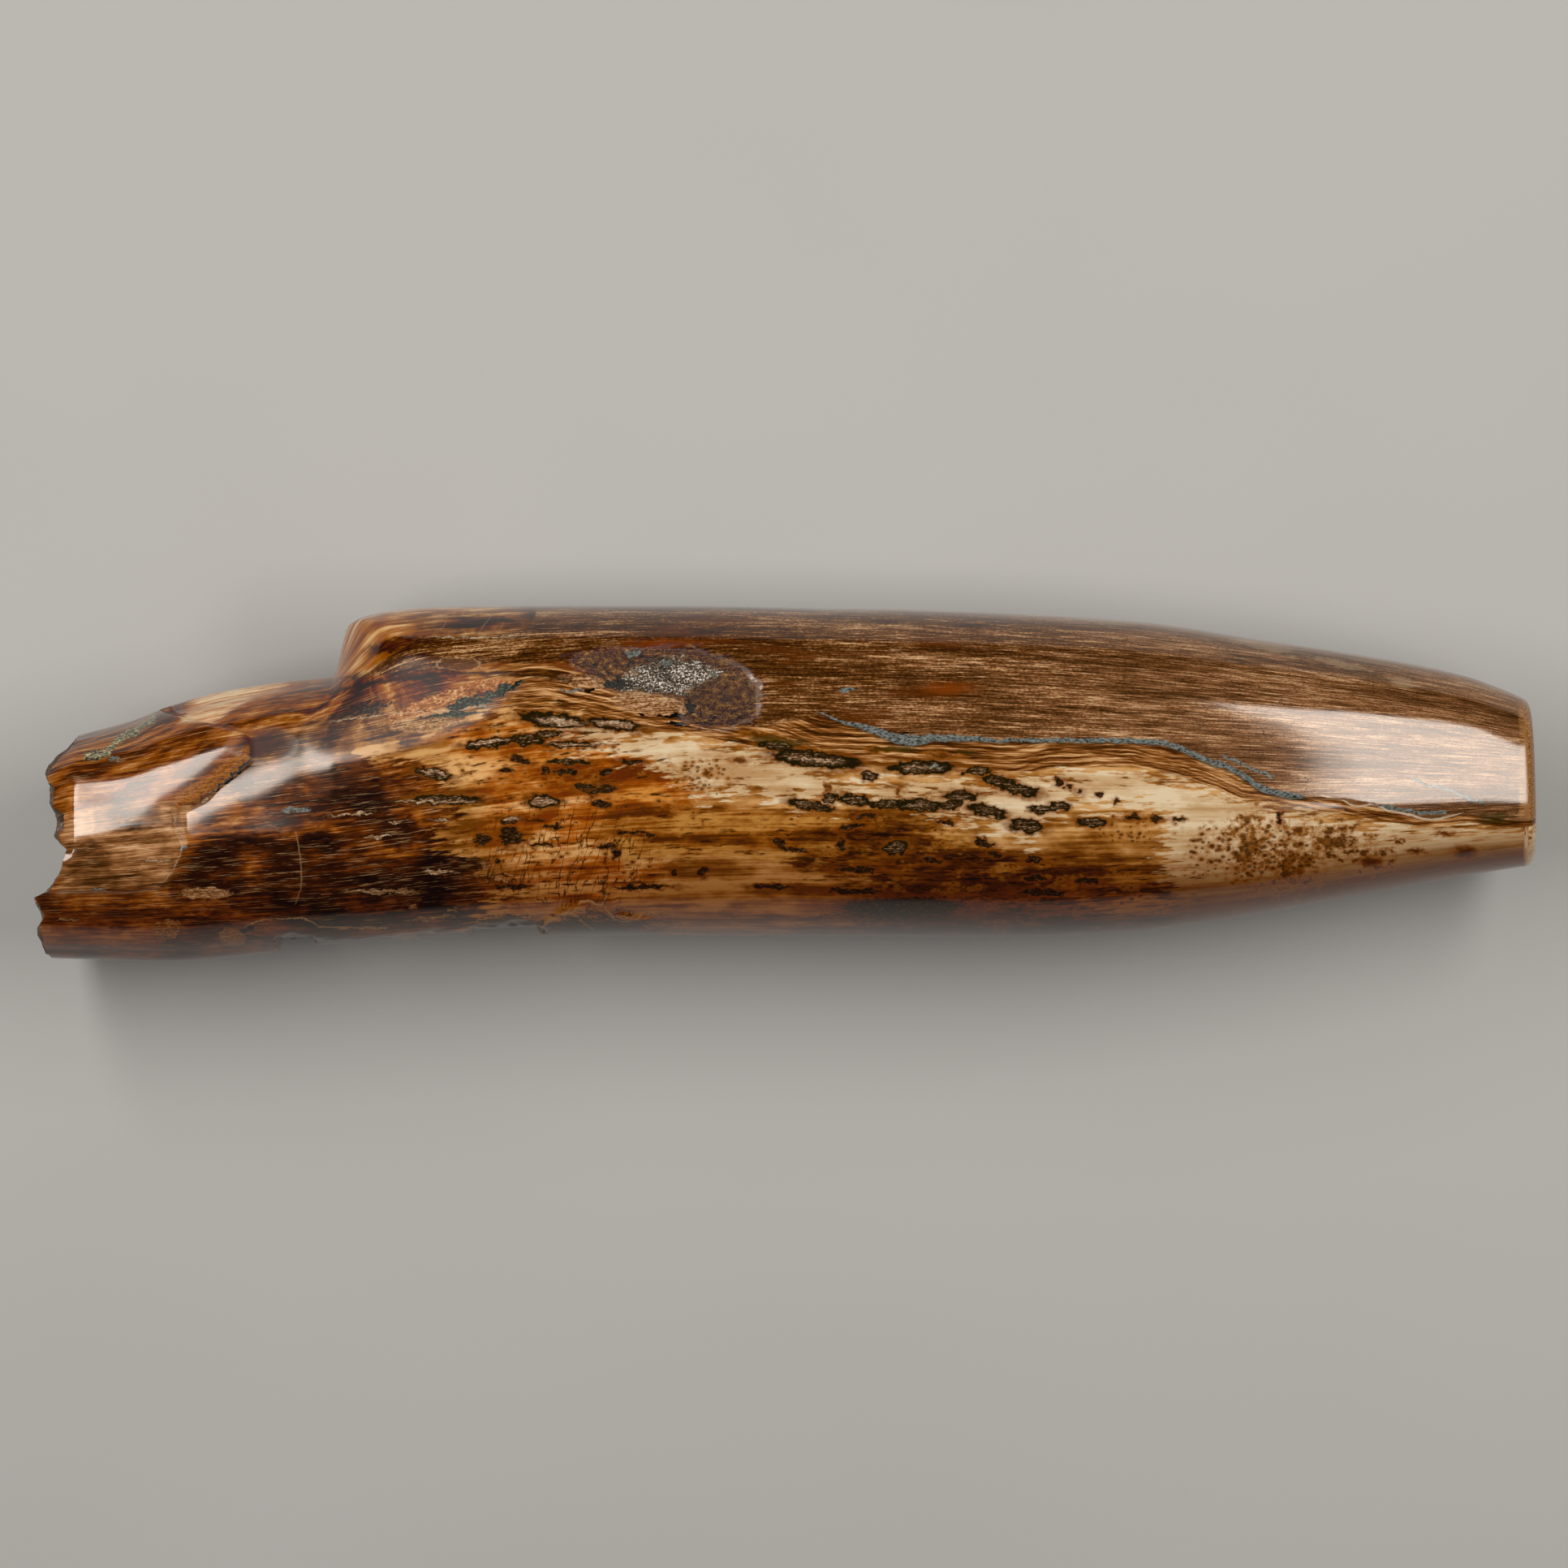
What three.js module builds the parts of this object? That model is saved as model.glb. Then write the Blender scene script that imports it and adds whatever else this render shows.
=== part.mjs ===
// A section of fossil woolly mammoth tusk: one polished piece of ivory that still wears its dark bark.
// Units are millimetres and +Z is up. X runs along the tusk, from the broken end to the sawn end, and Y across it.
// The origin is the middle of the underside: the bounding box's bottom centre.

import * as THREE from "three";
import { mergeVertices } from "three/addons/utils/BufferGeometryUtils.js";

// Driving dimensions
const AXIS_HEIGHT = 38.6; // from the surface that it lies on to the tusk's axis
const SAWN_END_X = 199.7;
const SAWN_END_LEAN = 0.03; // how far the saw cut moves in X for each millimetre of Y
const SAWN_EDGE_RADIUS = 3;
const LOST_CONE_X = -120.4; // where the stump of the lost outer cone stands up
const SQUARENESS = 2.25; // exponent of the cross-section's superellipse
const SHOULDER_SQUARENESS = 0.3; // added to it at the far shoulder, and taken off opposite
const SHOULDER_ANGLE = 45;

// Outlines across the tusk, each a list of [x, y]
const FAR_EDGE = [
  [-206, 38], [-120, 41], [-113, 44.6], [-105, 46.3], [-92, 47.3], [-62, 47.6], [-25, 47.6], [7, 47],
  [61, 45.2], [94, 43.1], [126, 38.4], [159, 33.3], [181, 28.8], [192, 25], [200, 21.4],
];
const LOST_CONE_EDGE = [
  [-206, 8], [-189, 13.3], [-175, 16.8], [-166, 20.3], [-151, 24.6], [-136, 27], [-120, 28.7],
];
const NEAR_EDGE = [
  [-206, -45.6], [-185, -46.8], [-166, -47.4], [-135, -45], [-100, -42.8], [-65, -41], [-25, -40.6],
  [61, -40.9], [94, -39.4], [116, -36.5], [137, -32.9], [159, -28.8], [181, -24.7], [200, -21.7],
];

// Heights above and depths below the axis, each a list of [x, z]
const CROWN = [
  [-206, 30], [-150, 33], [-100, 35.5], [-60, 37], [0, 38], [50, 37.6], [100, 34.6],
  [150, 28.8], [185, 23], [200, 20.2],
];
const KEEL = [
  [-206, 36], [-175, 38.6], [-150, 39.6], [-60, 40.4], [0, 40.4], [50, 39.8], [100, 36.4],
  [150, 30.4], [185, 24], [200, 21],
];

// The line that the cross-sections' rays start from
const SPINE = [
  [-206, -17], [-150, -11], [-120, -8], [-60, 0], [0, 3.4], [94, 1.8], [200, -0.4],
];

// How steeply the stump of the lost cone rises, in millimetres out for each millimetre along: gently on
// the crown, as a wall at the far edge and behind
const STUMP_SLOPE = [
  [-90, 4.5], [0, 4.5], [10, 2.6], [25, 1.1], [45, 0.5], [90, 0.36], [120, 2.5],
];
const STUMP_ROUNDING = 3;

// The broken end as it shows from above, a list of [y, x]
const BREAK = [
  [-47, -197.4], [-44.6, -198.2], [-41.8, -199.1], [-39.2, -200], [-36, -198.6], [-34, -199.1],
  [-30.5, -200.6], [-28.9, -197.8], [-25.5, -195], [-22.7, -193.3], [-19.3, -192], [-17.7, -191.3],
  [-16.4, -192.8], [-13.7, -195.4], [-11, -195], [-8, -195.6], [-5, -196.8], [-1, -196.8],
  [2.7, -197.6], [6.7, -195.2], [10, -191.2], [13.3, -189],
];

// How much further in the break is at the crown than at its ridge, a list of [y, x]
const CROWN_SET_BACK = [
  [-45, 2], [-35.7, 3.3], [-29, 3.5], [-23.7, 1.5], [-17.7, 0.5], [-14, 3], [-7.5, 5.5], [-1, 5.5],
  [3.4, 3.5], [7.7, 2], [13, 1],
];
const KEEL_SET_BACK = 8;
const RIDGE_SWING = 9; // the ridge goes this far up and down across the break
const RIDGE_STRIDE = 7;
const SPLINTER_LENGTH = 1.5;
const SPLINTER_SPACING = [3.2, 6.5]; // across and up

// Places where a flake or a pit is gone: centre x and y, half sizes, depth, and how soft the rim is
const HOLLOWS = [
  { name: "crystal pit", x: -39, y: 28, halfX: 20, halfY: 6.5, depth: 2.4, rim: 0.4 },
  { name: "round scar", x: -17.5, y: 22, halfX: 9.5, halfY: 6.5, depth: 1.8, rim: 0.35 },
  { name: "teal cleft", x: -84, y: 21, halfX: 17, halfY: 4, depth: 1.4, rim: 0.6 },
  { name: "left cleft", x: -150, y: 3, halfX: 9, halfY: 4.5, depth: 1.2, rim: 0.6 },
];
const CROWN_SINE = 0.3; // hollows lie only where the surface faces up at least this much

// Flakes lost from the near edge: x from and to, depth, and how many degrees they reach to each side
const NEAR_FLAKES = [
  { from: -135, to: -126, depth: 3.8, reach: 28 },
  { from: -126, to: -83.6, depth: 1.3, reach: 24 },
  { from: -83.6, to: -65.7, depth: 2.8, reach: 26 },
];
const NEAR_EDGE_ANGLE = 180;
const FLAKE_RIM = 5;

// Mesh density: columns around, which crowd together on the crown, and rings along
const AROUND = 48;
const CROWDING = 0.3;
const BREAK_RINGS = 6;
const SAWN_RINGS = 2;
const EDGE_RINGS = 3;
const RING_SPANS = [
  { to: -136, rings: 16 }, { to: -125, rings: 5 }, { to: -112, rings: 8 }, { to: -60, rings: 16 },
  { to: -6, rings: 14 }, { to: 150, rings: 21 }, { to: 196, rings: 9 },
];
const RIM_X = -190;
const RIM_REACH = 16; // how far the broken rim's shape is felt by the rings behind it
const RAY_LENGTH = 80; // longer than any radius
const RAY_HALVINGS = 30;
const WELD = 1e-4;

const { degToRad, radToDeg, smoothstep } = THREE.MathUtils;

// The value at x of a smooth curve through the points, with no overshoot between them
function follow(points, x) {
  if (x <= points[0][0]) return points[0][1];
  const last = points.length - 1;
  if (x >= points[last][0]) return points[last][1];
  const i = points.findIndex((point) => point[0] > x) - 1;
  const slope = (k) => (points[k + 1][1] - points[k][1]) / (points[k + 1][0] - points[k][0]);
  const tangent = (k) => {
    if (k === 0) return slope(0);
    if (k === last) return slope(last - 1);
    const [before, after] = [slope(k - 1), slope(k)];
    return before * after <= 0 ? 0 : (2 * before * after) / (before + after);
  };
  const width = points[i + 1][0] - points[i][0];
  const t = (x - points[i][0]) / width;
  const rise = t * t * (3 - 2 * t);
  return (
    points[i][1] * (1 - rise) +
    points[i + 1][1] * rise +
    width * tangent(i) * t * (1 - t) * (1 - t) -
    width * tangent(i + 1) * t * t * (1 - t)
  );
}

// A repeatable wandering value between about -1 and 1
function wander(a, b) {
  return (
    0.5 * Math.sin(1.31 * a + 2.1 * Math.sin(0.73 * b)) +
    0.3 * Math.sin(2.7 * b + 1.7 * Math.sin(1.9 * a)) +
    0.2 * Math.sin(4.3 * a - 3.9 * b)
  );
}

// The smaller of two lengths, with the corner between them rounded over the given width
function roundedMin(a, b, width) {
  const h = Math.max(width - Math.abs(a - b), 0) / width;
  return Math.min(a, b) - (h * h * width) / 4;
}

// How far a ray from the spine goes at an angle (0 is +Y, 90 degrees is +Z) before it meets the section at x
function sectionRadius(x, angle, farEdge) {
  const far = follow(farEdge, x);
  const near = follow(NEAR_EDGE, x);
  const halfWidth = (far - near) / 2;
  const offset = follow(SPINE, x) - (far + near) / 2;
  const depth = Math.sin(angle) > 0 ? follow(CROWN, x) : follow(KEEL, x);
  const power = SQUARENESS + SHOULDER_SQUARENESS * Math.cos(angle - degToRad(SHOULDER_ANGLE));
  let [low, high] = [0, RAY_LENGTH];
  for (let step = 0; step < RAY_HALVINGS; step++) {
    const r = (low + high) / 2;
    const across = Math.abs((offset + r * Math.cos(angle)) / halfWidth) ** power;
    const up = Math.abs((r * Math.sin(angle)) / depth) ** power;
    if (across + up > 1) high = r;
    else low = r;
  }
  return low;
}

function hollowDepth(x, y) {
  let depth = 0;
  for (const hollow of HOLLOWS) {
    const distance = Math.hypot((x - hollow.x) / hollow.halfX, (y - hollow.y) / hollow.halfY);
    depth += hollow.depth * (1 - smoothstep(distance, 1 - hollow.rim, 1 + hollow.rim));
  }
  return depth;
}

function flakeDepth(x, angle) {
  const away = Math.abs(radToDeg(angle) - NEAR_EDGE_ANGLE);
  let depth = 0;
  for (const flake of NEAR_FLAKES) {
    if (x < flake.from || x > flake.to) continue;
    depth += flake.depth * (1 - smoothstep(away, flake.reach - FLAKE_RIM, flake.reach));
  }
  return depth;
}

// The surface is the whole tusk's, or the smaller core's where the outer cone is lost
function surfaceRadius(x, angle) {
  const whole = sectionRadius(x, angle, FAR_EDGE);
  const core = sectionRadius(x, angle, LOST_CONE_EDGE);
  const turned = radToDeg(Math.atan2(Math.sin(angle), Math.cos(angle)));
  const stump = core + follow(STUMP_SLOPE, turned) * Math.max(0, x - LOST_CONE_X);
  const rounding = THREE.MathUtils.clamp(whole - core, 0.01, STUMP_ROUNDING);
  const radius = roundedMin(whole, stump, rounding);
  const y = follow(SPINE, x) + radius * Math.cos(angle);
  const onCrown = Math.sin(angle) > CROWN_SINE ? hollowDepth(x, y) : 0;
  return radius - onCrown - flakeDepth(x, angle);
}

// X of the broken face, which leans back from a wandering ridge and is splintered all over
function breakX(y, z) {
  const ridge = RIDGE_SWING * Math.sin(y / RIDGE_STRIDE);
  const crownward = Math.max(0, (z - ridge) / (follow(CROWN, RIM_X) - ridge));
  const keelward = Math.max(0, (ridge - z) / (follow(KEEL, RIM_X) + ridge));
  const setBack = follow(CROWN_SET_BACK, y) * crownward ** 2 + KEEL_SET_BACK * keelward ** 2;
  const splinters = SPLINTER_LENGTH * wander(y / SPLINTER_SPACING[0], z / SPLINTER_SPACING[1]);
  return follow(BREAK, y) + setBack + Math.abs(splinters);
}

function sawnX(y) {
  return SAWN_END_X - SAWN_END_LEAN * y;
}

// X of each ring, from the broken rim to the sawn rim
function stations() {
  const xs = [RIM_X];
  for (const span of RING_SPANS) {
    const from = xs[xs.length - 1];
    for (let ring = 1; ring <= span.rings; ring++) xs.push(from + ((span.to - from) * ring) / span.rings);
  }
  return xs;
}

function pointOnRing(x, angle, radius) {
  const y = follow(SPINE, x) + radius * Math.cos(angle);
  return new THREE.Vector3(x, y, radius * Math.sin(angle));
}

// The broken face, from its middle (share 0) to its rim (share 1)
function breakPoint(share, angle) {
  const radius = share * surfaceRadius(RIM_X, angle);
  const point = pointOnRing(RIM_X, angle, radius);
  point.x = breakX(point.y, point.z);
  return point;
}

function bodyPoint(x, angle) {
  const lean = 1 - smoothstep(x - RIM_X, 0, RIM_REACH);
  const shifted = x + (breakPoint(1, angle).x - RIM_X) * lean;
  return pointOnRing(shifted, angle, surfaceRadius(Math.max(shifted, RIM_X), angle));
}

// The rounded edge of the saw cut (share 0 to 1), then the flat cut itself (share 1 to 2)
function sawnPoint(share, angle) {
  const x = SAWN_END_X - SAWN_EDGE_RADIUS;
  const rim = surfaceRadius(x, angle);
  if (share > 1) {
    const point = pointOnRing(x, angle, (rim - SAWN_EDGE_RADIUS) * (2 - share));
    point.x = sawnX(point.y);
    return point;
  }
  const turn = (share * Math.PI) / 2;
  const inset = SAWN_EDGE_RADIUS * (1 - Math.cos(turn));
  const point = pointOnRing(x, angle, rim - inset);
  point.x = sawnX(point.y) - SAWN_EDGE_RADIUS * (1 - Math.sin(turn));
  return point;
}

// A sphere's grid, with its poles on the two end faces, is laid over the tusk. What would reach below the
// surface that it lies on is worn flat
function tuskGeometry() {
  const xs = stations();
  const rows = BREAK_RINGS + xs.length + EDGE_RINGS + SAWN_RINGS;
  const geometry = new THREE.SphereGeometry(1, AROUND, rows - 1);
  const position = geometry.getAttribute("position");
  for (let row = 0; row < rows; row++) {
    for (let column = 0; column <= AROUND; column++) {
      const even = 2 * Math.PI * (1 - (column % AROUND) / AROUND);
      const angle = even + CROWDING * Math.cos(even);
      const bodyRow = row - BREAK_RINGS;
      const sawnRow = bodyRow - xs.length + 1;
      let point;
      if (bodyRow < 0) point = breakPoint(row / BREAK_RINGS, angle);
      else if (sawnRow <= 0) point = bodyPoint(xs[bodyRow], angle);
      else if (sawnRow <= EDGE_RINGS) point = sawnPoint(sawnRow / EDGE_RINGS, angle);
      else point = sawnPoint(1 + (sawnRow - EDGE_RINGS) / SAWN_RINGS, angle);
      const height = Math.max(point.z + AXIS_HEIGHT, 0);
      position.setXYZ(row * (AROUND + 1) + column, point.x, point.y, height);
    }
  }
  geometry.deleteAttribute("normal");
  geometry.deleteAttribute("uv");
  const closed = mergeVertices(geometry, WELD);
  closed.computeBoundingBox();
  const middle = closed.boundingBox.getCenter(new THREE.Vector3());
  closed.translate(-middle.x, -middle.y, 0);
  closed.computeVertexNormals();
  return closed;
}

const polishedTusk = new THREE.MeshStandardMaterial({ color: 0x8a5a30, roughness: 0.3, metalness: 0 });

const tusk = new THREE.Mesh(tuskGeometry(), polishedTusk);
tusk.name = "tusk_section";

const section = new THREE.Group();
section.add(tusk);

export default section;
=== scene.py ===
# A polished section of fossil woolly mammoth tusk, lying on a pale floor and seen from straight above.
# The form is worked out in millimetres. What is seen on its face is placed by photograph pixels.
import math

import bpy
import numpy as np
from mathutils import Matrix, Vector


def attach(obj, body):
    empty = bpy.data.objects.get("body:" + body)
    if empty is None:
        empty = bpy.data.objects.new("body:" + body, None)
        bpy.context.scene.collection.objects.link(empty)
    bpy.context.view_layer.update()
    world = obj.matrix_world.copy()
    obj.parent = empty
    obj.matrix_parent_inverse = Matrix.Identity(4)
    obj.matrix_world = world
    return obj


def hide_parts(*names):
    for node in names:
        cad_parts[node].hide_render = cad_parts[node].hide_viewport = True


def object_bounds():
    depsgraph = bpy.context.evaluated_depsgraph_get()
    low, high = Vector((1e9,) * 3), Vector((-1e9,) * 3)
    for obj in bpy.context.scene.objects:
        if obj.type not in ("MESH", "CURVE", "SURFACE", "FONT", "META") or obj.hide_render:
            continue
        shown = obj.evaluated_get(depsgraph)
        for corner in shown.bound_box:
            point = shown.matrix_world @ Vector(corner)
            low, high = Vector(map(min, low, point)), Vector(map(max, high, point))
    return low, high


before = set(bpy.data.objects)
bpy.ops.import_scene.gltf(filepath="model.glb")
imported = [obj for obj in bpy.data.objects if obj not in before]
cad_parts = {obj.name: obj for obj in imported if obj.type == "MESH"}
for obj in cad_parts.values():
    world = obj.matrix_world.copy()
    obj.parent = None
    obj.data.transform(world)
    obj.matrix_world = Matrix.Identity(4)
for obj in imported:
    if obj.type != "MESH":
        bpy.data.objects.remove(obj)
cad_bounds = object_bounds()

MM = 0.001
PHOTO_SIDE = 1932
PX = 400 / 1844
MIDDLE_PX = (967, 965.5)
CAMERA_LENS = 270
SENSOR = 36
CAMERA_DISTANCE = PHOTO_SIDE * PX * CAMERA_LENS / SENSOR

# The section's form, as the solid has it
AXIS_HEIGHT = 38.6
SAWN_END_X = 199.7
SAWN_END_LEAN = 0.03
SAWN_EDGE_RADIUS = 3
LOST_CONE_X = -120.4
SQUARENESS = 2.25
SHOULDER_SQUARENESS = 0.3
SHOULDER_ANGLE = math.radians(45)
FAR_EDGE = [
    (-206, 38), (-120, 41), (-113, 44.6), (-105, 46.3), (-92, 47.3), (-62, 47.6), (-25, 47.6), (7, 47),
    (61, 45.2), (94, 43.1), (126, 38.4), (159, 33.3), (181, 28.8), (192, 25), (200, 21.4),
]
LOST_CONE_EDGE = [
    (-206, 8), (-189, 13.3), (-175, 16.8), (-166, 20.3), (-151, 24.6), (-136, 27), (-120, 28.7),
]
NEAR_EDGE = [
    (-206, -45.6), (-185, -46.8), (-166, -47.4), (-135, -45), (-100, -42.8), (-65, -41), (-25, -40.6),
    (61, -40.9), (94, -39.4), (116, -36.5), (137, -32.9), (159, -28.8), (181, -24.7), (200, -21.7),
]
CROWN = [
    (-206, 30), (-150, 33), (-100, 35.5), (-60, 37), (0, 38), (50, 37.6), (100, 34.6), (150, 28.8),
    (185, 23), (200, 20.2),
]
KEEL = [
    (-206, 36), (-175, 38.6), (-150, 39.6), (-60, 40.4), (0, 40.4), (50, 39.8), (100, 36.4), (150, 30.4),
    (185, 24), (200, 21),
]
SPINE = [(-206, -17), (-150, -11), (-120, -8), (-60, 0), (0, 3.4), (94, 1.8), (200, -0.4)]
STUMP_SLOPE = [
    (-90, 4.5), (0, 4.5), (10, 2.6), (25, 1.1), (45, 0.36), (60, 0.16), (72, 0.07), (90, 0.05), (120, 2.5),
]
STUMP_EASING = [(-90, 0.5), (22, 0.5), (50, 7), (90, 9), (130, 9)]
STUMP_ROUNDING = 3
BREAK = [
    (-47, -197.4), (-44.6, -198.2), (-41.8, -199.1), (-39.2, -200), (-36, -198.6), (-34, -199.1),
    (-30.5, -200.6), (-28.9, -197.8), (-25.5, -195), (-22.7, -193.3), (-19.3, -192), (-17.7, -191.3),
    (-16.4, -192.8), (-13.7, -195.4), (-11, -195), (-8, -195.6), (-5, -196.8), (-1, -196.8), (2.7, -197.6),
    (6.7, -195.2), (10, -191.2), (13.3, -189),
]
CROWN_SET_BACK = [
    (-45, 2), (-35.7, 2.6), (-29, 2.4), (-23.7, 1.2), (-17.7, 0.5), (-14, 1.6), (-7.5, 2.6), (-1, 2.6),
    (3.4, 2), (7.7, 1.4), (13, 0.8),
]
KEEL_SET_BACK = 8
RIDGE_SWING = 9
RIDGE_STRIDE = 7
RIM_X = -190
RIM_REACH = 16
NEAR_FLAKES = [(-135, -126, 3.8, 28), (-126, -83.6, 1.3, 24), (-83.6, -65.7, 2.8, 26)]
FLAKE_STEP = 0.4
FLAKE_RIM = 12
LONGEST_RAY = 80
RAY_HALVINGS = 26

# Mesh density
COLUMNS = 280
CROWDING = 0.3
BREAK_RINGS = 22
EDGE_RINGS = 5
SAWN_RINGS = 12
RING_SPANS = [(-176, 26), (-112, 80), (-60, 56), (0, 46), (196.7, 104)]
SHARP_EDGE = math.radians(48)

# How far each part stands out of the worn surface or lies back from it
WAVINESS = 0.1
BARK_LIFT = 0.3
PIT_DEPTH = 1.2
SCAR_RISE = 1.2
SCAR_GROOVE = 0.3
CRYSTAL_HEIGHT = 0.6
CLEFT_DEPTH = 0.3
PLATE_LIFT = 0.45
PLATE_FALL = 0.06
SCARP_DROP = 0.8
RIM_BEVEL = 0.3
CORE_FALL = 0.1
CREAM_PATCH_DEPTH = 0.5
HOLLOW_DEPTH = 0.35
CHIP_LIFT = 0.5

# The finish, and how the patterns are laid on
IVORY_IOR = 1.65
REFLECTION_TINT = (1.0, 0.92, 0.83, 1)
LEAST_HAZE = (0.0, 0.001, 0.004, 1.0)
MOST_HAZE = (0.034, 0.026, 0.030, 1.0)
UNDERSIDE_SHIFT = 45
TILT_STEP = 6

# The studio, in metres
RIGHT_SOFTBOX = {"middle": (0.675, 0.29, 1.1), "width": 0.39, "length": 1.16, "radiance": 8.5}
LEFT_SOFTBOX = {"middle": (-0.6225, 0.505, 1.1), "width": 0.34, "length": 1.5, "radiance": 8.8, "turn": 8.5}
ROOM_COLOUR = (1.0, 0.94, 0.86, 1)
ROOM_BRIGHTNESS = 0.04
FLOOR_DARKEST = (0.44, 0.42, 0.39, 1)
FLOOR_PALEST = (0.47, 0.45, 0.42, 1)
FLOOR_PATCH = 0.3

# Parts of the surface, outlined in photograph pixels
BARK_EDGE = [
    (396, 836), (470, 832), (540, 826), (610, 816), (680, 818), (745, 838), (800, 870), (860, 893),
    (940, 896), (1010, 881), (1071, 899), (1119, 912), (1199, 911), (1343, 913), (1423, 915), (1449, 921),
    (1487, 937), (1532, 956), (1567, 977), (1608, 983), (1655, 986), (1712, 998), (1765, 1009),
    (1804, 1002), (1866, 1010), (1910, 1010),
]
IVORY_EDGE = [
    (440, 922), (505, 907), (550, 894), (579, 882), (623, 874), (671, 872), (712, 880), (783, 896),
    (830, 901), (900, 914), (943, 922), (1010, 944), (1071, 944), (1180, 950), (1254, 953), (1296, 945),
    (1391, 943), (1455, 956), (1503, 972), (1528, 985), (1583, 990), (1646, 1001), (1700, 1010),
    (1748, 1018), (1803, 1013), (1866, 1020), (1910, 1016),
]
ZONES = {
    "bark": BARK_EDGE + [(1910, 700), (396, 700)],
    "ivory": IVORY_EDGE + [
        (1910, 1210), (560, 1210), (575, 1140), (610, 1112), (655, 1094), (604, 1072), (598, 1056),
        (560, 1046), (538, 1030), (566, 1012), (556, 1000), (588, 986), (552, 976), (560, 952), (520, 938),
        (470, 930),
    ],
    "cream": [
        (684, 905), (720, 896), (783, 903), (830, 908), (900, 921), (943, 930), (985, 950), (1040, 958),
        (1100, 962), (1160, 966), (1215, 975), (1240, 960), (1296, 952), (1391, 950), (1455, 963),
        (1503, 979), (1583, 998), (1700, 1018), (1803, 1022), (1910, 1024), (1910, 1210), (1450, 1210),
        (1446, 1120), (1436, 1060), (1440, 1000), (1330, 988), (1290, 1010), (1262, 1044), (1215, 1012),
        (1150, 996), (1060, 984), (960, 986), (930, 975), (868, 978), (836, 965), (800, 932), (730, 924),
    ],
    "orange": [
        (548, 896), (640, 880), (730, 888), (780, 924), (850, 935), (866, 985), (830, 1056), (790, 1100),
        (700, 1112), (600, 1112), (640, 1075), (590, 1040), (600, 985), (560, 950),
    ],
    "deep_orange": [
        (560, 925), (640, 915), (700, 930), (790, 934), (836, 948), (846, 990), (760, 1000), (650, 950),
    ],
    "brown_ivory": [
        (770, 975), (870, 990), (960, 992), (1080, 1000), (1130, 1040), (1060, 1062), (900, 1058),
        (770, 1060), (720, 1030),
    ],
    "amber": [
        (960, 1046), (1020, 1010), (1070, 996), (1120, 1002), (1170, 1022), (1250, 1050), (1330, 1062),
        (1480, 1066), (1480, 1165), (960, 1165), (1000, 1136), (1080, 1112), (1060, 1088), (1000, 1070),
    ],
    "deep_amber": [
        (980, 1058), (1050, 1040), (1110, 1022), (1160, 1040), (1250, 1075), (1340, 1110), (1380, 1165),
        (980, 1165), (1060, 1128), (1090, 1104), (1060, 1082),
    ],
    "dusty": [
        (76, 1010), (120, 990), (230, 990), (300, 935), (360, 890), (470, 868), (580, 872), (600, 893),
        (500, 910), (430, 934), (330, 968), (262, 1000), (232, 1010), (222, 1046), (206, 1092), (120, 1096),
        (70, 1110),
    ],
    "core": [
        (262, 1020), (380, 985), (470, 958), (560, 940), (620, 985), (560, 1030), (660, 1092), (640, 1165),
        (330, 1178), (230, 1128), (196, 1100), (226, 1060),
    ],
    "nose": [
        (380, 740), (662, 735), (656, 772), (600, 785), (516, 784), (495, 797), (480, 806), (453, 826),
        (380, 840),
    ],
    "pit": [
        (700, 812), (748, 800), (800, 797), (860, 800), (912, 822), (932, 846), (930, 878), (900, 894),
        (862, 892), (842, 882), (838, 862), (800, 853), (752, 850), (728, 836),
    ],
    "crystals": [
        (764, 848), (778, 822), (806, 806), (850, 808), (888, 820), (876, 838), (850, 852), (812, 850),
    ],
    "cleft": [
        (500, 886), (540, 868), (586, 852), (642, 840), (632, 852), (600, 866), (584, 880), (540, 890),
    ],
    "cream_patch": [
        (216, 890), (228, 866), (256, 842), (380, 826), (352, 842), (312, 853), (284, 869), (262, 887),
    ],
    "left_plate": [
        (40, 880), (190, 872), (300, 905), (302, 930), (262, 962), (246, 980), (214, 996), (217, 1024),
        (222, 1044), (211, 1076), (197, 1090), (160, 1096), (40, 1100),
    ],
    "bottom_chip": [
        (660, 1142), (690, 1120), (724, 1106), (752, 1092), (760, 1124), (800, 1130), (810, 1180),
        (650, 1180),
    ],
}
SCAR_PX = (890, 856)
SCAR_SIZE = (9.3, 5.6)
SCARP_FOOT_X = -163
SCARP_TOP_X = -108
RIM_BEVEL_X = -190.5
PLATE_FOLD = [(92, 1050), (248, 935)]
CORE_FOLD = [(216, 1019), (388, 950)]
HOLLOW_PX = (322, 912)
HOLLOW_SIZE = (7.5, 4.5)

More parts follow.
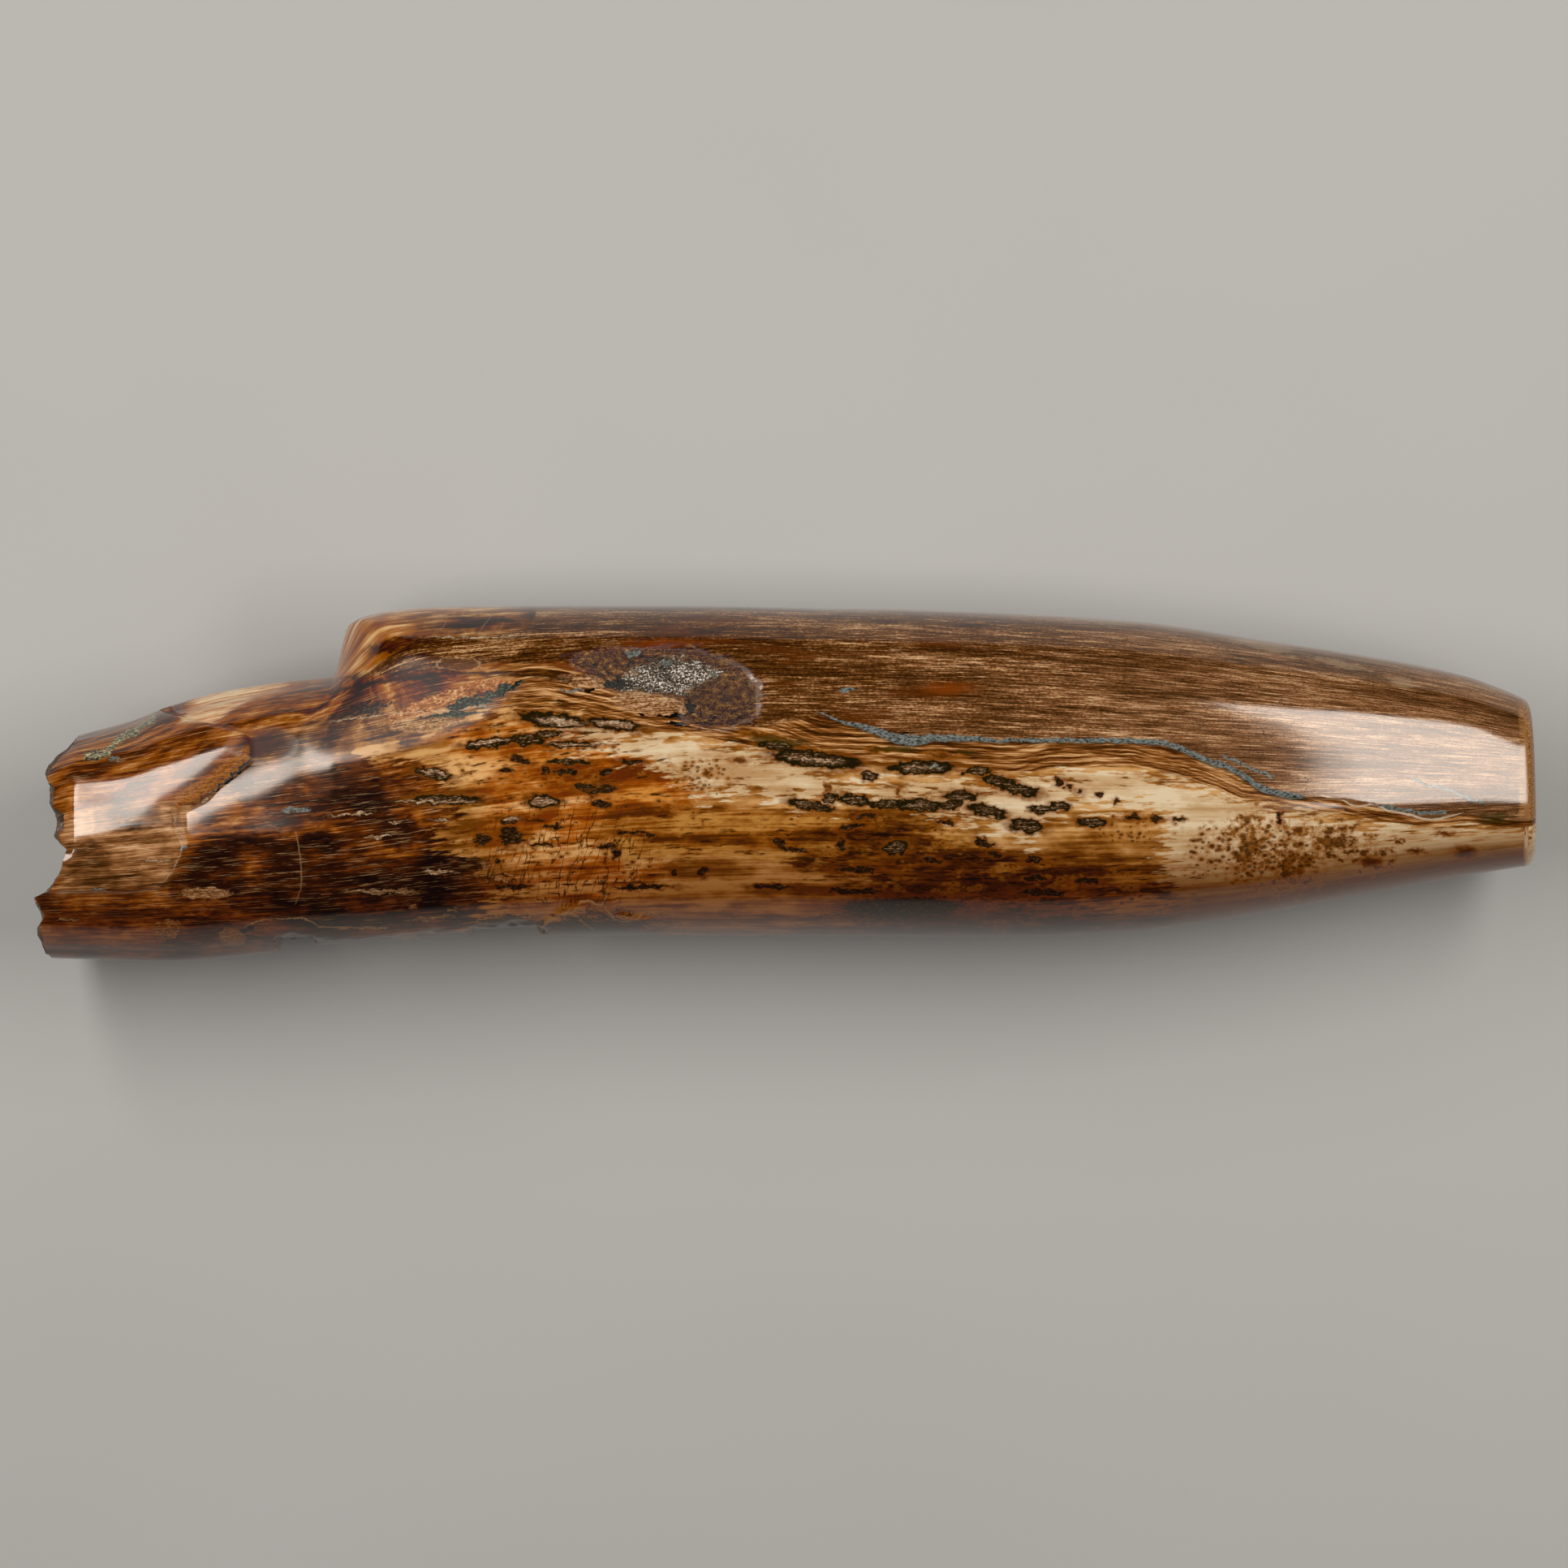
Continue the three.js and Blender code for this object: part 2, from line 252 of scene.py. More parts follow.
# Marks on the surface: centre x and y, half length, half height, and degrees down to the right
LENSES = [
    (1005, 935, 60, 11, 5), (957, 918, 26, 6, 4), (1135, 945, 46, 9, 0), (1071, 956, 12, 6, 0),
    (1204, 949, 18, 6, 0), (1228, 961, 20, 7, 6), (1255, 972, 27, 9, 10), (1186, 980, 22, 7, 2),
    (1217, 999, 25, 8, 14), (1052, 985, 22, 7, 4), (1092, 990, 24, 6, 2), (1135, 992, 30, 8, 3),
    (1170, 991, 16, 7, -6), (1000, 992, 30, 6, 10), (1022, 982, 9, 8, 0), (1265, 1017, 23, 9, 6),
    (1283, 996, 14, 5, 0), (1306, 993, 15, 6, -4), (1104, 1044, 19, 10, -12), (680, 887, 44, 9, 4),
    (755, 892, 34, 8, 6), (600, 915, 34, 6, -5), (645, 911, 26, 7, -3), (676, 904, 18, 5, 0),
    (704, 917, 32, 5, 0), (700, 938, 26, 4, 2), (668, 987, 21, 10, 0), (719, 969, 15, 4, 0),
    (533, 953, 24, 7, 10), (545, 985, 48, 7, 0), (1345, 1013, 20, 6, 0),
]
DASHES = [
    (1050, 1018, 19, 4, -6), (1068, 1005, 12, 4, -12), (1037, 1040, 6, 9, 12), (960, 1037, 6, 6, 0),
    (976, 1046, 20, 3.5, 8), (1055, 1071, 30, 3.5, 0), (1054, 1098, 34, 4, 2), (1165, 1013, 12, 3.5, 0),
    (1211, 1038, 11, 6, 20), (948, 1092, 27, 3, 0), (1397, 1006, 9, 4, 0), (1427, 1008, 10, 4, 0),
    (1454, 1009, 9, 3, 0), (1283, 1099, 33, 4.5, 3), (1275, 1082, 15, 4, 0), (1274, 1059, 13, 4.5, -4),
    (779, 939, 15, 3.5, 0), (640, 935, 16, 6, 16), (624, 949, 10, 3.5, 0), (696, 951, 21, 3.5, 0),
    (747, 951, 10, 3.5, 0), (624, 1010, 13, 6, 0), (628, 1030, 18, 13, 0), (594, 1034, 13, 8, 0),
    (746, 1042, 13, 4, 0), (757, 1052, 4, 8, 0), (778, 1025, 25, 3, 0), (793, 1092, 38, 3, 0),
    (830, 1074, 5, 5, 0), (865, 1073, 7, 7, 0), (801, 1028, 4, 4, 0), (629, 1092, 24, 3.5, 2),
    (1305, 963, 6, 5, 0), (1318, 969, 5, 4, 0), (1331, 975, 6, 4, 0), (1352, 979, 5, 4, 0),
    (1375, 986, 4, 4, 0), (1579, 1006, 4, 8, 10), (670, 948, 4, 6, 0), (1110, 1117, 80, 12, 0),
    (1225, 1052, 10, 4, 0), (1150, 1060, 14, 4, 10), (1340, 1085, 16, 4, 0), (735, 972, 22, 8, 0),
    (740, 990, 14, 5, 10), (680, 1018, 16, 2.5, 0), (665, 1040, 16, 2.5, 0), (612, 1062, 5, 5, 0),
]
SPOTS = [
    (911, 937, 15, 6, 0), (870, 951, 6, 5, 0), (1018, 969, 5, 7, 0), (1108, 975, 6, 6, 0),
    (1655, 1020, 7, 5, 0), (1725, 1036, 4, 4, 0), (1806, 1050, 18, 9, 0), (1745, 1048, 14, 4, 4),
    (1690, 1061, 16, 7, 0), (935, 905, 26, 5, 6), (1086, 923, 22, 4, 0), (1160, 930, 26, 4, 4),
    (1579, 1006, 5, 9, 10), (1600, 1022, 8, 6, 0), (1780, 1026, 12, 4, 0),
]
NOSE_DARK = [(585, 768, 74, 13, 0), (486, 794, 30, 9, -12)]
WINDOW = [(564, 818, 27, 7, 3)]
MATT = [(500, 866, 134, 56, -12), (322, 912, 44, 26, 0), (424, 888, 60, 46, 0)]
SALMON = [(598, 845, 40, 7, -8), (556, 858, 44, 9, -16), (512, 874, 36, 9, -20)]
TEAL = [(613, 852, 30, 6, -22), (578, 865, 32, 8, -14), (548, 881, 40, 4, -4)]
CLUSTERS = [
    (1538, 1042, 26, 44, 0), (1590, 1062, 36, 36, 0), (1642, 1036, 44, 24, 0), (1690, 1058, 26, 14, 0),
]
SPRINKLED = [
    (1488, 1048, 30, 40, 0), (1560, 1050, 90, 50, 0), (1400, 1020, 60, 24, 0), (866, 957, 44, 30, 0),
]
CRACKED = [(690, 1050, 125, 75, 0)]
# Dark rough patches on the broken parts; by the pit's step and in the gap over the bottom chip they are
# painted shadow
ROUGH_DARK_AND_SHADOW = [
    (1110, 1122, 84, 15, 0), (456, 872, 26, 9, -14), (765, 839, 14, 11, 0), (620, 1136, 42, 12, -8),
    (735, 1150, 90, 30, 0),
]
PALE_FLAKES = [
    (690, 889, 34, 4.5, 4), (757, 892, 30, 5, 5), (600, 914, 28, 3, -5), (668, 987, 18, 6, 0),
    (704, 917, 34, 1.8, 0), (533, 951, 20, 2.5, 10), (537, 987, 58, 2.4, 0), (470, 1098, 54, 3.5, -2),
    (541, 1074, 27, 3, 0), (527, 1131, 36, 3.5, -4), (509, 1116, 8, 3, -10), (556, 1120, 7, 3, 0),
    (430, 1003, 34, 2, -5), (628, 1008, 14, 3, 0), (252, 984, 6, 3, 0), (82, 1138, 20, 2, 0),
    (190, 1060, 20, 2, 0), (576, 785, 64, 1.8, 0), (628, 784, 14, 2.4, 0), (488, 1012, 9, 3, 0),
    (540, 1010, 16, 2, 0), (465, 1030, 18, 3, 0), (1135, 945, 30, 2.5, 0), (1000, 935, 44, 2, 5),
]
TAN_PLATES = [
    (204, 1148, 20, 13, -6), (285, 1156, 18, 12, 0), (497, 1152, 20, 7, 0), (800, 866, 50, 15, 8),
    (718, 839, 36, 8, 6), (522, 892, 46, 9, -4), (252, 1102, 34, 8, 3),
]
BLUE_BITS = [
    (781, 801, 10, 3, -8), (822, 813, 7, 3, 0), (882, 827, 8, 2.5, 0), (222, 1044, 4, 6, 0),
    (138, 933, 9, 4, 6), (365, 998, 22, 4, 2), (1152, 944, 14, 2, 0), (118, 1096, 14, 2, -6),
    (1046, 850, 16, 2, 0), (704, 851, 18, 2, 0),
]
# Painted shadow: near-black in gaps and cracks and under the edges of steps and plates, where shade falls
PAINTED_SHADOW_GAPS = [
    (753, 841, 9, 7, 0), (826, 882, 18, 2.5, -6), (834, 891, 16, 2.2, 8), (727, 850, 7, 2.5, -10),
    (790, 881, 6, 2, 0), (850, 872, 4, 8, 0), (306, 1146, 9, 4, -20), (356, 1132, 13, 3, 0),
    (622, 1143, 40, 5, -10), (1804, 980, 26, 3, 22), (1115, 905, 5, 2, 0), (284, 954, 31, 2.8, -43),
]
PALE_BARK = [(1560, 796, 42, 7, 9), (1730, 842, 18, 6, 14), (1652, 818, 40, 4, 12)]
RED_BARK = [(1170, 848, 38, 9, 2), (700, 822, 40, 6, 4), (820, 792, 60, 6, 0)]
GREEN_STAINS = [(1840, 1007, 28, 8, -4), (1100, 922, 34, 5, 0), (1190, 927, 24, 4, 4), (960, 912, 50, 5, 5)]

# Lines along the surface: their pixels, and how their half width goes along
BLUE_LINE = [
    (1005, 876), (1042, 890), (1071, 898), (1097, 907), (1119, 912), (1167, 909), (1246, 912), (1343, 912),
    (1423, 914), (1449, 920), (1487, 936), (1519, 947), (1532, 955), (1567, 975), (1612, 983),
]
BLUE_WIDTH = [
    (1005, 0), (1015, 1.0), (1042, 2.2), (1071, 3.6), (1119, 6), (1167, 3.5), (1246, 2.2), (1423, 3.2),
    (1487, 3.8), (1567, 4), (1600, 2.5), (1612, 0),
]
# Painted highlight: a pale line where the bark's raised lower edge catches the light
BARK_EDGE_HIGHLIGHT = [
    (1625, 979), (1655, 985), (1675, 993), (1690, 991), (1712, 998), (1737, 1003), (1765, 1009),
    (1783, 1006), (1806, 1000),
]
BARK_EDGE_HIGHLIGHT_WIDTH = [(1625, 0), (1640, 1.0), (1700, 1.3), (1760, 1.5), (1806, 0)]
BLUE_BRANCH = [(1505, 930), (1519, 936), (1551, 950), (1572, 957)]
BLUE_LIP = [(1700, 992), (1730, 997), (1760, 1001), (1785, 1000)]
BLUE_SLIT = [(1738, 957), (1758, 966), (1781, 971), (1804, 981), (1832, 990)]
TEAL_CRACK = [(100, 933), (130, 925), (143, 911), (172, 894), (192, 881)]
BEVEL = [(213, 999), (262, 970), (308, 932)]
LOWER_CRACK = [(298, 1143), (348, 1132), (367, 1132), (399, 1142), (480, 1143)]
STUMP_LINE = [(402, 888), (440, 884), (500, 877), (560, 874), (600, 868)]
DARK_LINE = [(402, 852), (450, 842), (510, 834), (560, 829), (640, 831), (706, 838)]
CHIP_CRACK = [(658, 1146), (682, 1129), (703, 1121), (723, 1108), (736, 1112), (750, 1094)]
CHIP_BRANCH = [(703, 1121), (723, 1138), (733, 1145)]
CHIP_FORK = [(742, 1110), (754, 1126), (769, 1133), (792, 1127)]
BLUE_CRACKS = [(BLUE_BRANCH, 2.0), (BLUE_LIP, 2.2), (BLUE_SLIT, 2.0)]
PALE_CRACKS = [
    (CHIP_CRACK, 1.4), (CHIP_BRANCH, 1.0), (CHIP_FORK, 1.0), (LOWER_CRACK, 0.8), (STUMP_LINE, 0.4),
]
UPRIGHT_CRACKS = [
    [(885, 1704), (900, 1703), (916, 1694)], [(907, 1817), (932, 1822), (950, 1821)],
    [(747, 610), (764, 600), (781, 587)], [(757, 552), (779, 541)], [(764, 621), (781, 612)],
]
PLATE_EDGE = [(996, 212), (1024, 216), (1044, 222), (1068, 213), (1085, 200), (1094, 172)]
CORE_CRACK = [(1022, 362), (1051, 368), (1076, 370), (1116, 362)]


def follow(points, x):
    """The value at x of a smooth curve through the points, with no overshoot between them"""
    px, py = np.array(points, float).T
    slope = np.diff(py) / np.diff(px)
    tangent = np.concatenate([slope[:1], np.zeros(len(px) - 2), slope[-1:]])
    before, after = slope[:-1], slope[1:]
    turning = before * after > 0
    tangent[1:-1][turning] = 2 * before[turning] * after[turning] / (before + after)[turning]
    x = np.clip(x, px[0], px[-1])
    i = np.clip(np.searchsorted(px, x, side="right") - 1, 0, len(px) - 2)
    width = px[i + 1] - px[i]
    t = (x - px[i]) / width
    rise = t * t * (3 - 2 * t)
    bend = tangent[i] * t * (1 - t) ** 2 - tangent[i + 1] * t * t * (1 - t)
    return py[i] * (1 - rise) + py[i + 1] * rise + width * bend


def smoothstep(x, low, high):
    t = np.clip((x - low) / (high - low), 0, 1)
    return t * t * (3 - 2 * t)


def noise(points, seed=0):
    """Repeatable noise between -1 and 1, with features about one unit across"""
    cell = np.floor(points)
    t = points - cell
    t = t * t * (3 - 2 * t)
    total = 0
    for corner in range(8):
        step = np.array([corner & 1, corner >> 1 & 1, corner >> 2 & 1])
        mixed = np.sin((cell + step) @ np.array([12.9898, 78.233, 37.719]) + seed * 3.7) * 43758.5453
        total = total + np.prod(np.where(step, t, 1 - t), axis=-1) * (mixed - np.floor(mixed))
    return total * 2 - 1


def layered_noise(points, seed=0, layers=4):
    """Noise with finer and weaker noise added to it"""
    return sum(noise(points * 2 ** k, seed + k) / 2 ** k for k in range(layers)) / 1.6


def rounded_min(a, b, width):
    h = np.maximum(width - np.abs(a - b), 0) / width
    return np.minimum(a, b) - h * h * width / 4


def section_radius(x, angle, far_edge):
    """How far a ray from the spine goes before it meets the section at x"""
    far, near = follow(far_edge, x), follow(NEAR_EDGE, x)
    half_width = (far - near) / 2
    offset = follow(SPINE, x) - (far + near) / 2
    depth = np.where(np.sin(angle) > 0, follow(CROWN, x), follow(KEEL, x))
    power = SQUARENESS + SHOULDER_SQUARENESS * np.cos(angle - SHOULDER_ANGLE)
    across, up = np.cos(angle), np.abs(np.sin(angle)) / depth
    low, high = np.zeros_like(x), np.full_like(x, LONGEST_RAY)
    for _ in range(RAY_HALVINGS):
        r = (low + high) / 2
        outside = np.abs((offset + r * across) / half_width) ** power + (r * up) ** power > 1
        high = np.where(outside, r, high)
        low = np.where(outside, low, r)
    return low


def eased_rise(past, easing):
    """0 before zero and the value itself after it, with a rounded turn between"""
    return np.where(np.abs(past) < easing, (past + easing) ** 2 / (4 * easing), np.maximum(0, past))


def base_radius(x, angle):
    """The worn surface's radius without its fine relief, and how deep it lies under the grown surface"""
    whole = section_radius(x, angle, FAR_EDGE)
    core = section_radius(x, angle, LOST_CONE_EDGE)
    turned = np.degrees(np.arctan2(np.sin(angle), np.cos(angle)))
    risen = eased_rise(x - LOST_CONE_X, follow(STUMP_EASING, turned))
    stump = core + follow(STUMP_SLOPE, turned) * risen
    radius = rounded_min(whole, stump, np.clip(whole - core, 0.01, STUMP_ROUNDING))
    away = np.abs(np.degrees(angle) - 180)
    place = np.stack([x / 6, away / 9, np.sin(angle) * 3], axis=-1)
    ragged_x = x + 1.5 * layered_noise(place, 41, 3) * smoothstep(away, 5, 16)
    ragged_away = away + 6 * layered_noise(place, 42, 3) * smoothstep(away, 4, 16)
    for start, end, depth, reach in NEAR_FLAKES:
        begun = smoothstep(ragged_x, start - FLAKE_STEP, start + FLAKE_STEP)
        inside = begun * (1 - smoothstep(ragged_x, end - FLAKE_STEP, end + FLAKE_STEP))
        radius = radius - depth * inside * (1 - smoothstep(ragged_away, reach - FLAKE_RIM, reach))
    return radius, whole - radius


def in_mm(points):
    """Photograph pixels as millimetres from the section's middle"""
    return (np.array(points, float) - MIDDLE_PX) * (PX, -PX)


def distance_inside(polygon, u, v):
    """Millimetres from the polygon's edge, above zero inside it"""
    corners = in_mm(polygon)
    nearest = np.full(u.shape, 1e9)
    inside = np.zeros(u.shape, bool)
    for (ax, ay), (bx, by) in zip(corners, np.roll(corners, -1, axis=0)):
        ex, ey = bx - ax, by - ay
        t = np.clip(((u - ax) * ex + (v - ay) * ey) / (ex * ex + ey * ey), 0, 1)
        nearest = np.minimum(nearest, np.hypot(u - ax - t * ex, v - ay - t * ey))
        if ey:
            inside ^= ((ay > v) != (by > v)) & (u < ax + (v - ay) * ex / ey)
    return np.where(inside, nearest, -nearest)


def beyond(line, u, v):
    """Millimetres from a line through two photograph pixels, above zero to the left of its direction"""
    (au, av), (bu, bv) = in_mm(line)
    return ((bu - au) * (v - av) - (bv - av) * (u - au)) / math.hypot(bu - au, bv - av)


def photo_scale(z):
    """How much larger a thing at height z shows in the photograph than one at the outline's height"""
    return CAMERA_DISTANCE / (CAMERA_DISTANCE - z)


def photo_place(x, angle, radius):
    """Where the photograph shows a point of the surface. The underside repeats the face, shifted along."""
    below = np.maximum(0, -np.sin(angle))
    scale = photo_scale(radius * np.abs(np.sin(angle)))
    u = x * scale + UNDERSIDE_SHIFT * below ** 1.5
    return u, (follow(SPINE, x) + radius * np.cos(angle)) * scale


def relief(angle, u, v, skin, zones):
    """Fine relief in millimetres, out of the surface"""
    facing = smoothstep(np.sin(angle), 0.1, 0.35)
    height = WAVINESS * layered_noise(skin / (34, 17, 17), 3, 2) * (0.3 + 0.7 * smoothstep(u, -150, -60))
    height += BARK_LIFT * smoothstep(zones["bark"], -0.4, 0.4) * smoothstep(u, 8, 30)
    pit_edge = zones["pit"] + 1.6 * layered_noise(skin / (5, 2.5, 2.5), 9, 3)
    height -= PIT_DEPTH * facing * smoothstep(pit_edge, -1.2, 2.8) * (0.45 + 0.55 * smoothstep(u, -52, -42))
    scar_u, scar_v = in_mm(SCAR_PX)
    scar = np.hypot((u - scar_u) / SCAR_SIZE[0], (v - scar_v) / SCAR_SIZE[1])
    dome, groove = np.sqrt(np.clip(1 - scar ** 2, 0, 1)), np.exp(-((scar - 1.05) / 0.08) ** 2)
    height += facing * (SCAR_RISE * dome - SCAR_GROOVE * groove)
    facets = np.abs(noise(skin / 1.1, 5))
    height += CRYSTAL_HEIGHT * facing * smoothstep(zones["crystals"], -0.4, 0.6) * facets
    height -= CLEFT_DEPTH * facing * smoothstep(zones["cleft"], -2.4, 1.2)
    plate = smoothstep(zones["left_plate"], -1.8, 0.2)
    height += facing * plate * PLATE_LIFT * smoothstep(v, -18, -5)
    fallen = np.clip((SCARP_TOP_X - u) / (SCARP_TOP_X - SCARP_FOOT_X), 0, 1)
    height -= SCARP_DROP * facing * (1 - plate) * fallen * smoothstep(fallen, 0, 0.7)
    above_plate, above_core = beyond(PLATE_FOLD, u, v), beyond(CORE_FOLD, u, v)
    height -= PLATE_FALL * facing * plate * (eased_rise(above_plate, 3) - eased_rise(above_plate - 14, 4))
    height -= RIM_BEVEL * facing * smoothstep(v, -22, -15) * eased_rise(RIM_BEVEL_X - u, 0.6)
    core_facet = (1 - plate) * (1 - smoothstep(u, -127, -112))
    height -= CORE_FALL * facing * core_facet * (eased_rise(above_core, 2) - eased_rise(above_core - 7, 2))
    height -= CREAM_PATCH_DEPTH * facing * smoothstep(zones["cream_patch"], -0.5, 0.8)
    hollow_u, hollow_v = in_mm(HOLLOW_PX)
    hollow = np.hypot((u - hollow_u) / HOLLOW_SIZE[0], (v - hollow_v) / HOLLOW_SIZE[1])
    height -= HOLLOW_DEPTH * facing * (1 - smoothstep(hollow, 0.2, 1.3))
    height += CHIP_LIFT * facing * smoothstep(zones["bottom_chip"], -0.4, 0.2)
    return height


def break_x(y, z):
    """X of the broken face, which leans back from a wandering ridge and is splintered between its layers"""
    ridge = RIDGE_SWING * np.sin(y / RIDGE_STRIDE)
    crownward = np.maximum(0, (z - ridge) / (follow(CROWN, RIM_X) - ridge))
    keelward = np.maximum(0, (ridge - z) / (follow(KEEL, RIM_X) + ridge))
    set_back = follow(CROWN_SET_BACK, y) * crownward ** 2 + KEEL_SET_BACK * keelward ** 2
    face = np.stack([y, z, np.zeros_like(y)], axis=-1)
    layer = np.hypot(y - follow(SPINE, RIM_X), z) / 3.4 + 0.8 * noise(face / 9, 21)
    steps = 1.1 * smoothstep(layer - np.floor(layer), 0.55, 0.95)
    splinters = 0.9 * np.abs(layered_noise(face / (3.2, 5.5, 1), 22))
    splinters = splinters + 0.5 * np.abs(noise(face / (1, 2.2, 1), 27))
    return follow(BREAK, y) + set_back + steps + splinters


def skin_place(x, angle):
    """A place along and round the tusk, for patterns that follow its grain"""
    girth = 42
    return np.stack([x, girth * np.cos(angle), girth * np.sin(angle)], axis=-1)


def body_rings():
    """The rings of points along the tusk, and what the material needs to know at each point"""
    even = 2 * np.pi * (1 - np.arange(COLUMNS) / COLUMNS)
    angles = (even + CROWDING * np.cos(even)) % (2 * np.pi)
    xs = [float(RIM_X)]
    for end, rings in RING_SPANS:
        xs += list(xs[-1] + (end - xs[-1]) * np.arange(1, rings + 1) / rings)
    x, angle = np.meshgrid(xs, angles, indexing="ij")
    radius, under = base_radius(x, angle)
    rim_radius = radius[0]
    rim_y = follow(SPINE, RIM_X) + rim_radius * np.cos(angles)
    rim_shift = break_x(rim_y, rim_radius * np.sin(angles)) - RIM_X
    moved = x + rim_shift * (1 - smoothstep(x - RIM_X, 0, RIM_REACH))
    u, v = photo_place(moved, angle, radius)
    skin = skin_place(moved, angle)
    zones = {name: distance_inside(polygon, u, v) for name, polygon in ZONES.items()}
    radius = radius + relief(angle, u, v, skin, zones)
    points = np.stack([moved, follow(SPINE, x) + radius * np.cos(angle), radius * np.sin(angle)], axis=-1)
    facts = {
        "photo": np.stack([MIDDLE_PX[0] + u / PX, MIDDLE_PX[1] - v / PX, np.zeros_like(u)], axis=-1),
        "skin": skin, "depth": under, **zones,
    }
    return points, facts


def broken_rings(rim, rim_depth):
    """Rings from the middle of the broken face to its rim"""
    share = (np.arange(BREAK_RINGS) / BREAK_RINGS)[:, None, None]
    middle = np.array([0, follow(SPINE, RIM_X), 0])
    points = middle + (rim - middle) * share
    points[..., 0] = break_x(points[..., 1], points[..., 2])
    inward = np.linalg.norm((rim - points)[..., 1:], axis=-1)
    return points, inward + rim_depth


def sawn_rings(last):
    """Rings over the eased edge and the sawn face to its middle"""
    middle = np.array([0, follow(SPINE, last[0, 0]), 0])
    outward = (last - middle) * (0, 1, 1)
    reach = np.linalg.norm(outward, axis=-1)
    outward = outward / reach[:, None]
    rings, insets = [], []
    for k in range(1, EDGE_RINGS + SAWN_RINGS + 1):
        turn = min(k / EDGE_RINGS, 1) * math.pi / 2
        flat = max(k - EDGE_RINGS, 0) / SAWN_RINGS
        inset = SAWN_EDGE_RADIUS * (1 - math.cos(turn)) + (reach - SAWN_EDGE_RADIUS) * flat
        ring = last - outward * inset[:, None]
        ring[:, 0] = SAWN_END_X - SAWN_END_LEAN * ring[:, 1] - SAWN_EDGE_RADIUS * (1 - math.sin(turn))
        rings.append(ring)
        insets.append(inset)
    return np.array(rings), np.array(insets)


def tusk_points():
    """Every ring from the broken end to the sawn end, with the facts carried out over both ends"""
    body, facts = body_rings()
    broken, broken_depth = broken_rings(body[0], facts["depth"][0])
    sawn, inset = sawn_rings(body[-1])
    points = np.concatenate([broken, body, sawn])
    whole = {}
    for name, values in facts.items():
        before = np.repeat(values[:1], BREAK_RINGS, axis=0)
        after = np.repeat(values[-1:], len(sawn), axis=0)
        whole[name] = np.concatenate([before, values, after])
    whole["depth"][:BREAK_RINGS] = broken_depth
    whole["depth"][-len(sawn):] = inset
    whole["skin"][:BREAK_RINGS] = broken
    whole["skin"][-len(sawn):, :, 1:] = sawn[..., 1:]
    return points, whole


def fitted(points):
    """The points set on the floor and fitted to the solid's box"""
    low, high = (np.array(corner) / MM for corner in cad_bounds)
    points = points + (0, 0, AXIS_HEIGHT)
    points[..., 2] = np.maximum(points[..., 2], 0)
    found_low, found_high = points.min(axis=(0, 1)), points.max(axis=(0, 1))
    return low + (points - found_low) * (high - low) / (found_high - found_low)


def tusk_object():
    """The tusk as one closed mesh: rings joined by quads, with a fan at the middle of each end"""
    points, facts = tusk_points()
    points = fitted(points)
    rings = len(points)
    kept = np.concatenate([[0], np.arange(COLUMNS, (rings - 1) * COLUMNS), [(rings - 1) * COLUMNS]])
    first, last = 0, len(kept) - 1
    index = 1 + np.arange((rings - 2) * COLUMNS).reshape(rings - 2, COLUMNS)
    beside = np.roll(index, -1, axis=1)
    quads = np.stack([index[:-1], index[1:], beside[1:], beside[:-1]], axis=-1).reshape(-1, 4)
    fans = [(first, a, b) for a, b in zip(index[0].tolist(), beside[0].tolist())]
    fans += [(last, b, a) for a, b in zip(index[-1].tolist(), beside[-1].tolist())]

    mesh = bpy.data.meshes.new("tusk_surface")
    mesh.from_pydata((points.reshape(-1, 3)[kept] * MM).tolist(), [], quads.tolist() + fans)
    for name, values in facts.items():
        if values.ndim == 3:
            attribute = mesh.attributes.new(name, "FLOAT_VECTOR", "POINT")
            attribute.data.foreach_set("vector", values.reshape(-1, 3)[kept].ravel())
        else:
            attribute = mesh.attributes.new(name, "FLOAT", "POINT")
            attribute.data.foreach_set("value", values.reshape(-1)[kept])
    body, sawn_start = BREAK_RINGS - 1, rings - 1 - SAWN_RINGS - 1
    faces = np.arange(len(quads)) // COLUMNS
    material = np.where(faces < body, 1, np.where(faces >= sawn_start - 1, 2, 0))
    ends = [1] * COLUMNS + [2] * COLUMNS
    mesh.polygons.foreach_set("material_index", np.concatenate([material, ends]).astype(np.int32))
    mesh.shade_smooth()
    mesh.set_sharp_from_angle(angle=SHARP_EDGE)
    tusk = bpy.data.objects.new("fossil_tusk", mesh)
    bpy.context.scene.collection.objects.link(tusk)
    return tusk


class Value:
    """A node's output, with arithmetic that adds nodes to the same material"""

    def __init__(self, socket):
        self.socket = socket
        self.tree = socket.id_data

    def __add__(self, other):
        return calculate("ADD", self, other)

    def __sub__(self, other):
        return calculate("SUBTRACT", self, other)

    def __rsub__(self, other):
        return calculate("SUBTRACT", other, self)

    def __mul__(self, other):
        return calculate("MULTIPLY", self, other)

    def __truediv__(self, other):
        return calculate("DIVIDE", self, other)

    __radd__ = __add__
    __rmul__ = __mul__


def node(tree, kind, inputs, output=0, **settings):
    """A new node with its settings, its inputs linked or set, and one of its outputs"""
    made = tree.nodes.new("ShaderNode" + kind)
    for name, setting in settings.items():
        setattr(made, name, setting)
    for name, value in inputs.items():
        if isinstance(value, Value):
            tree.links.new(value.socket, made.inputs[name])
        else:
            made.inputs[name].default_value = value
    return Value(made.outputs[output])


def attribute(tree, name, output=2):
    """What the mesh holds under the name: a number, or a vector with output 1"""
    return node(tree, "Attribute", {}, output, attribute_name=name)


def tree_of(values):
    return next(value.tree for value in values if isinstance(value, Value))


def calculate(operation, *values):
    return node(tree_of(values), "Math", dict(enumerate(values)), operation=operation)


def largest(a, b):
    return calculate("MAXIMUM", a, b)


def smallest(a, b):
    return calculate("MINIMUM", a, b)


def size_of(value):
    return calculate("ABSOLUTE", value)


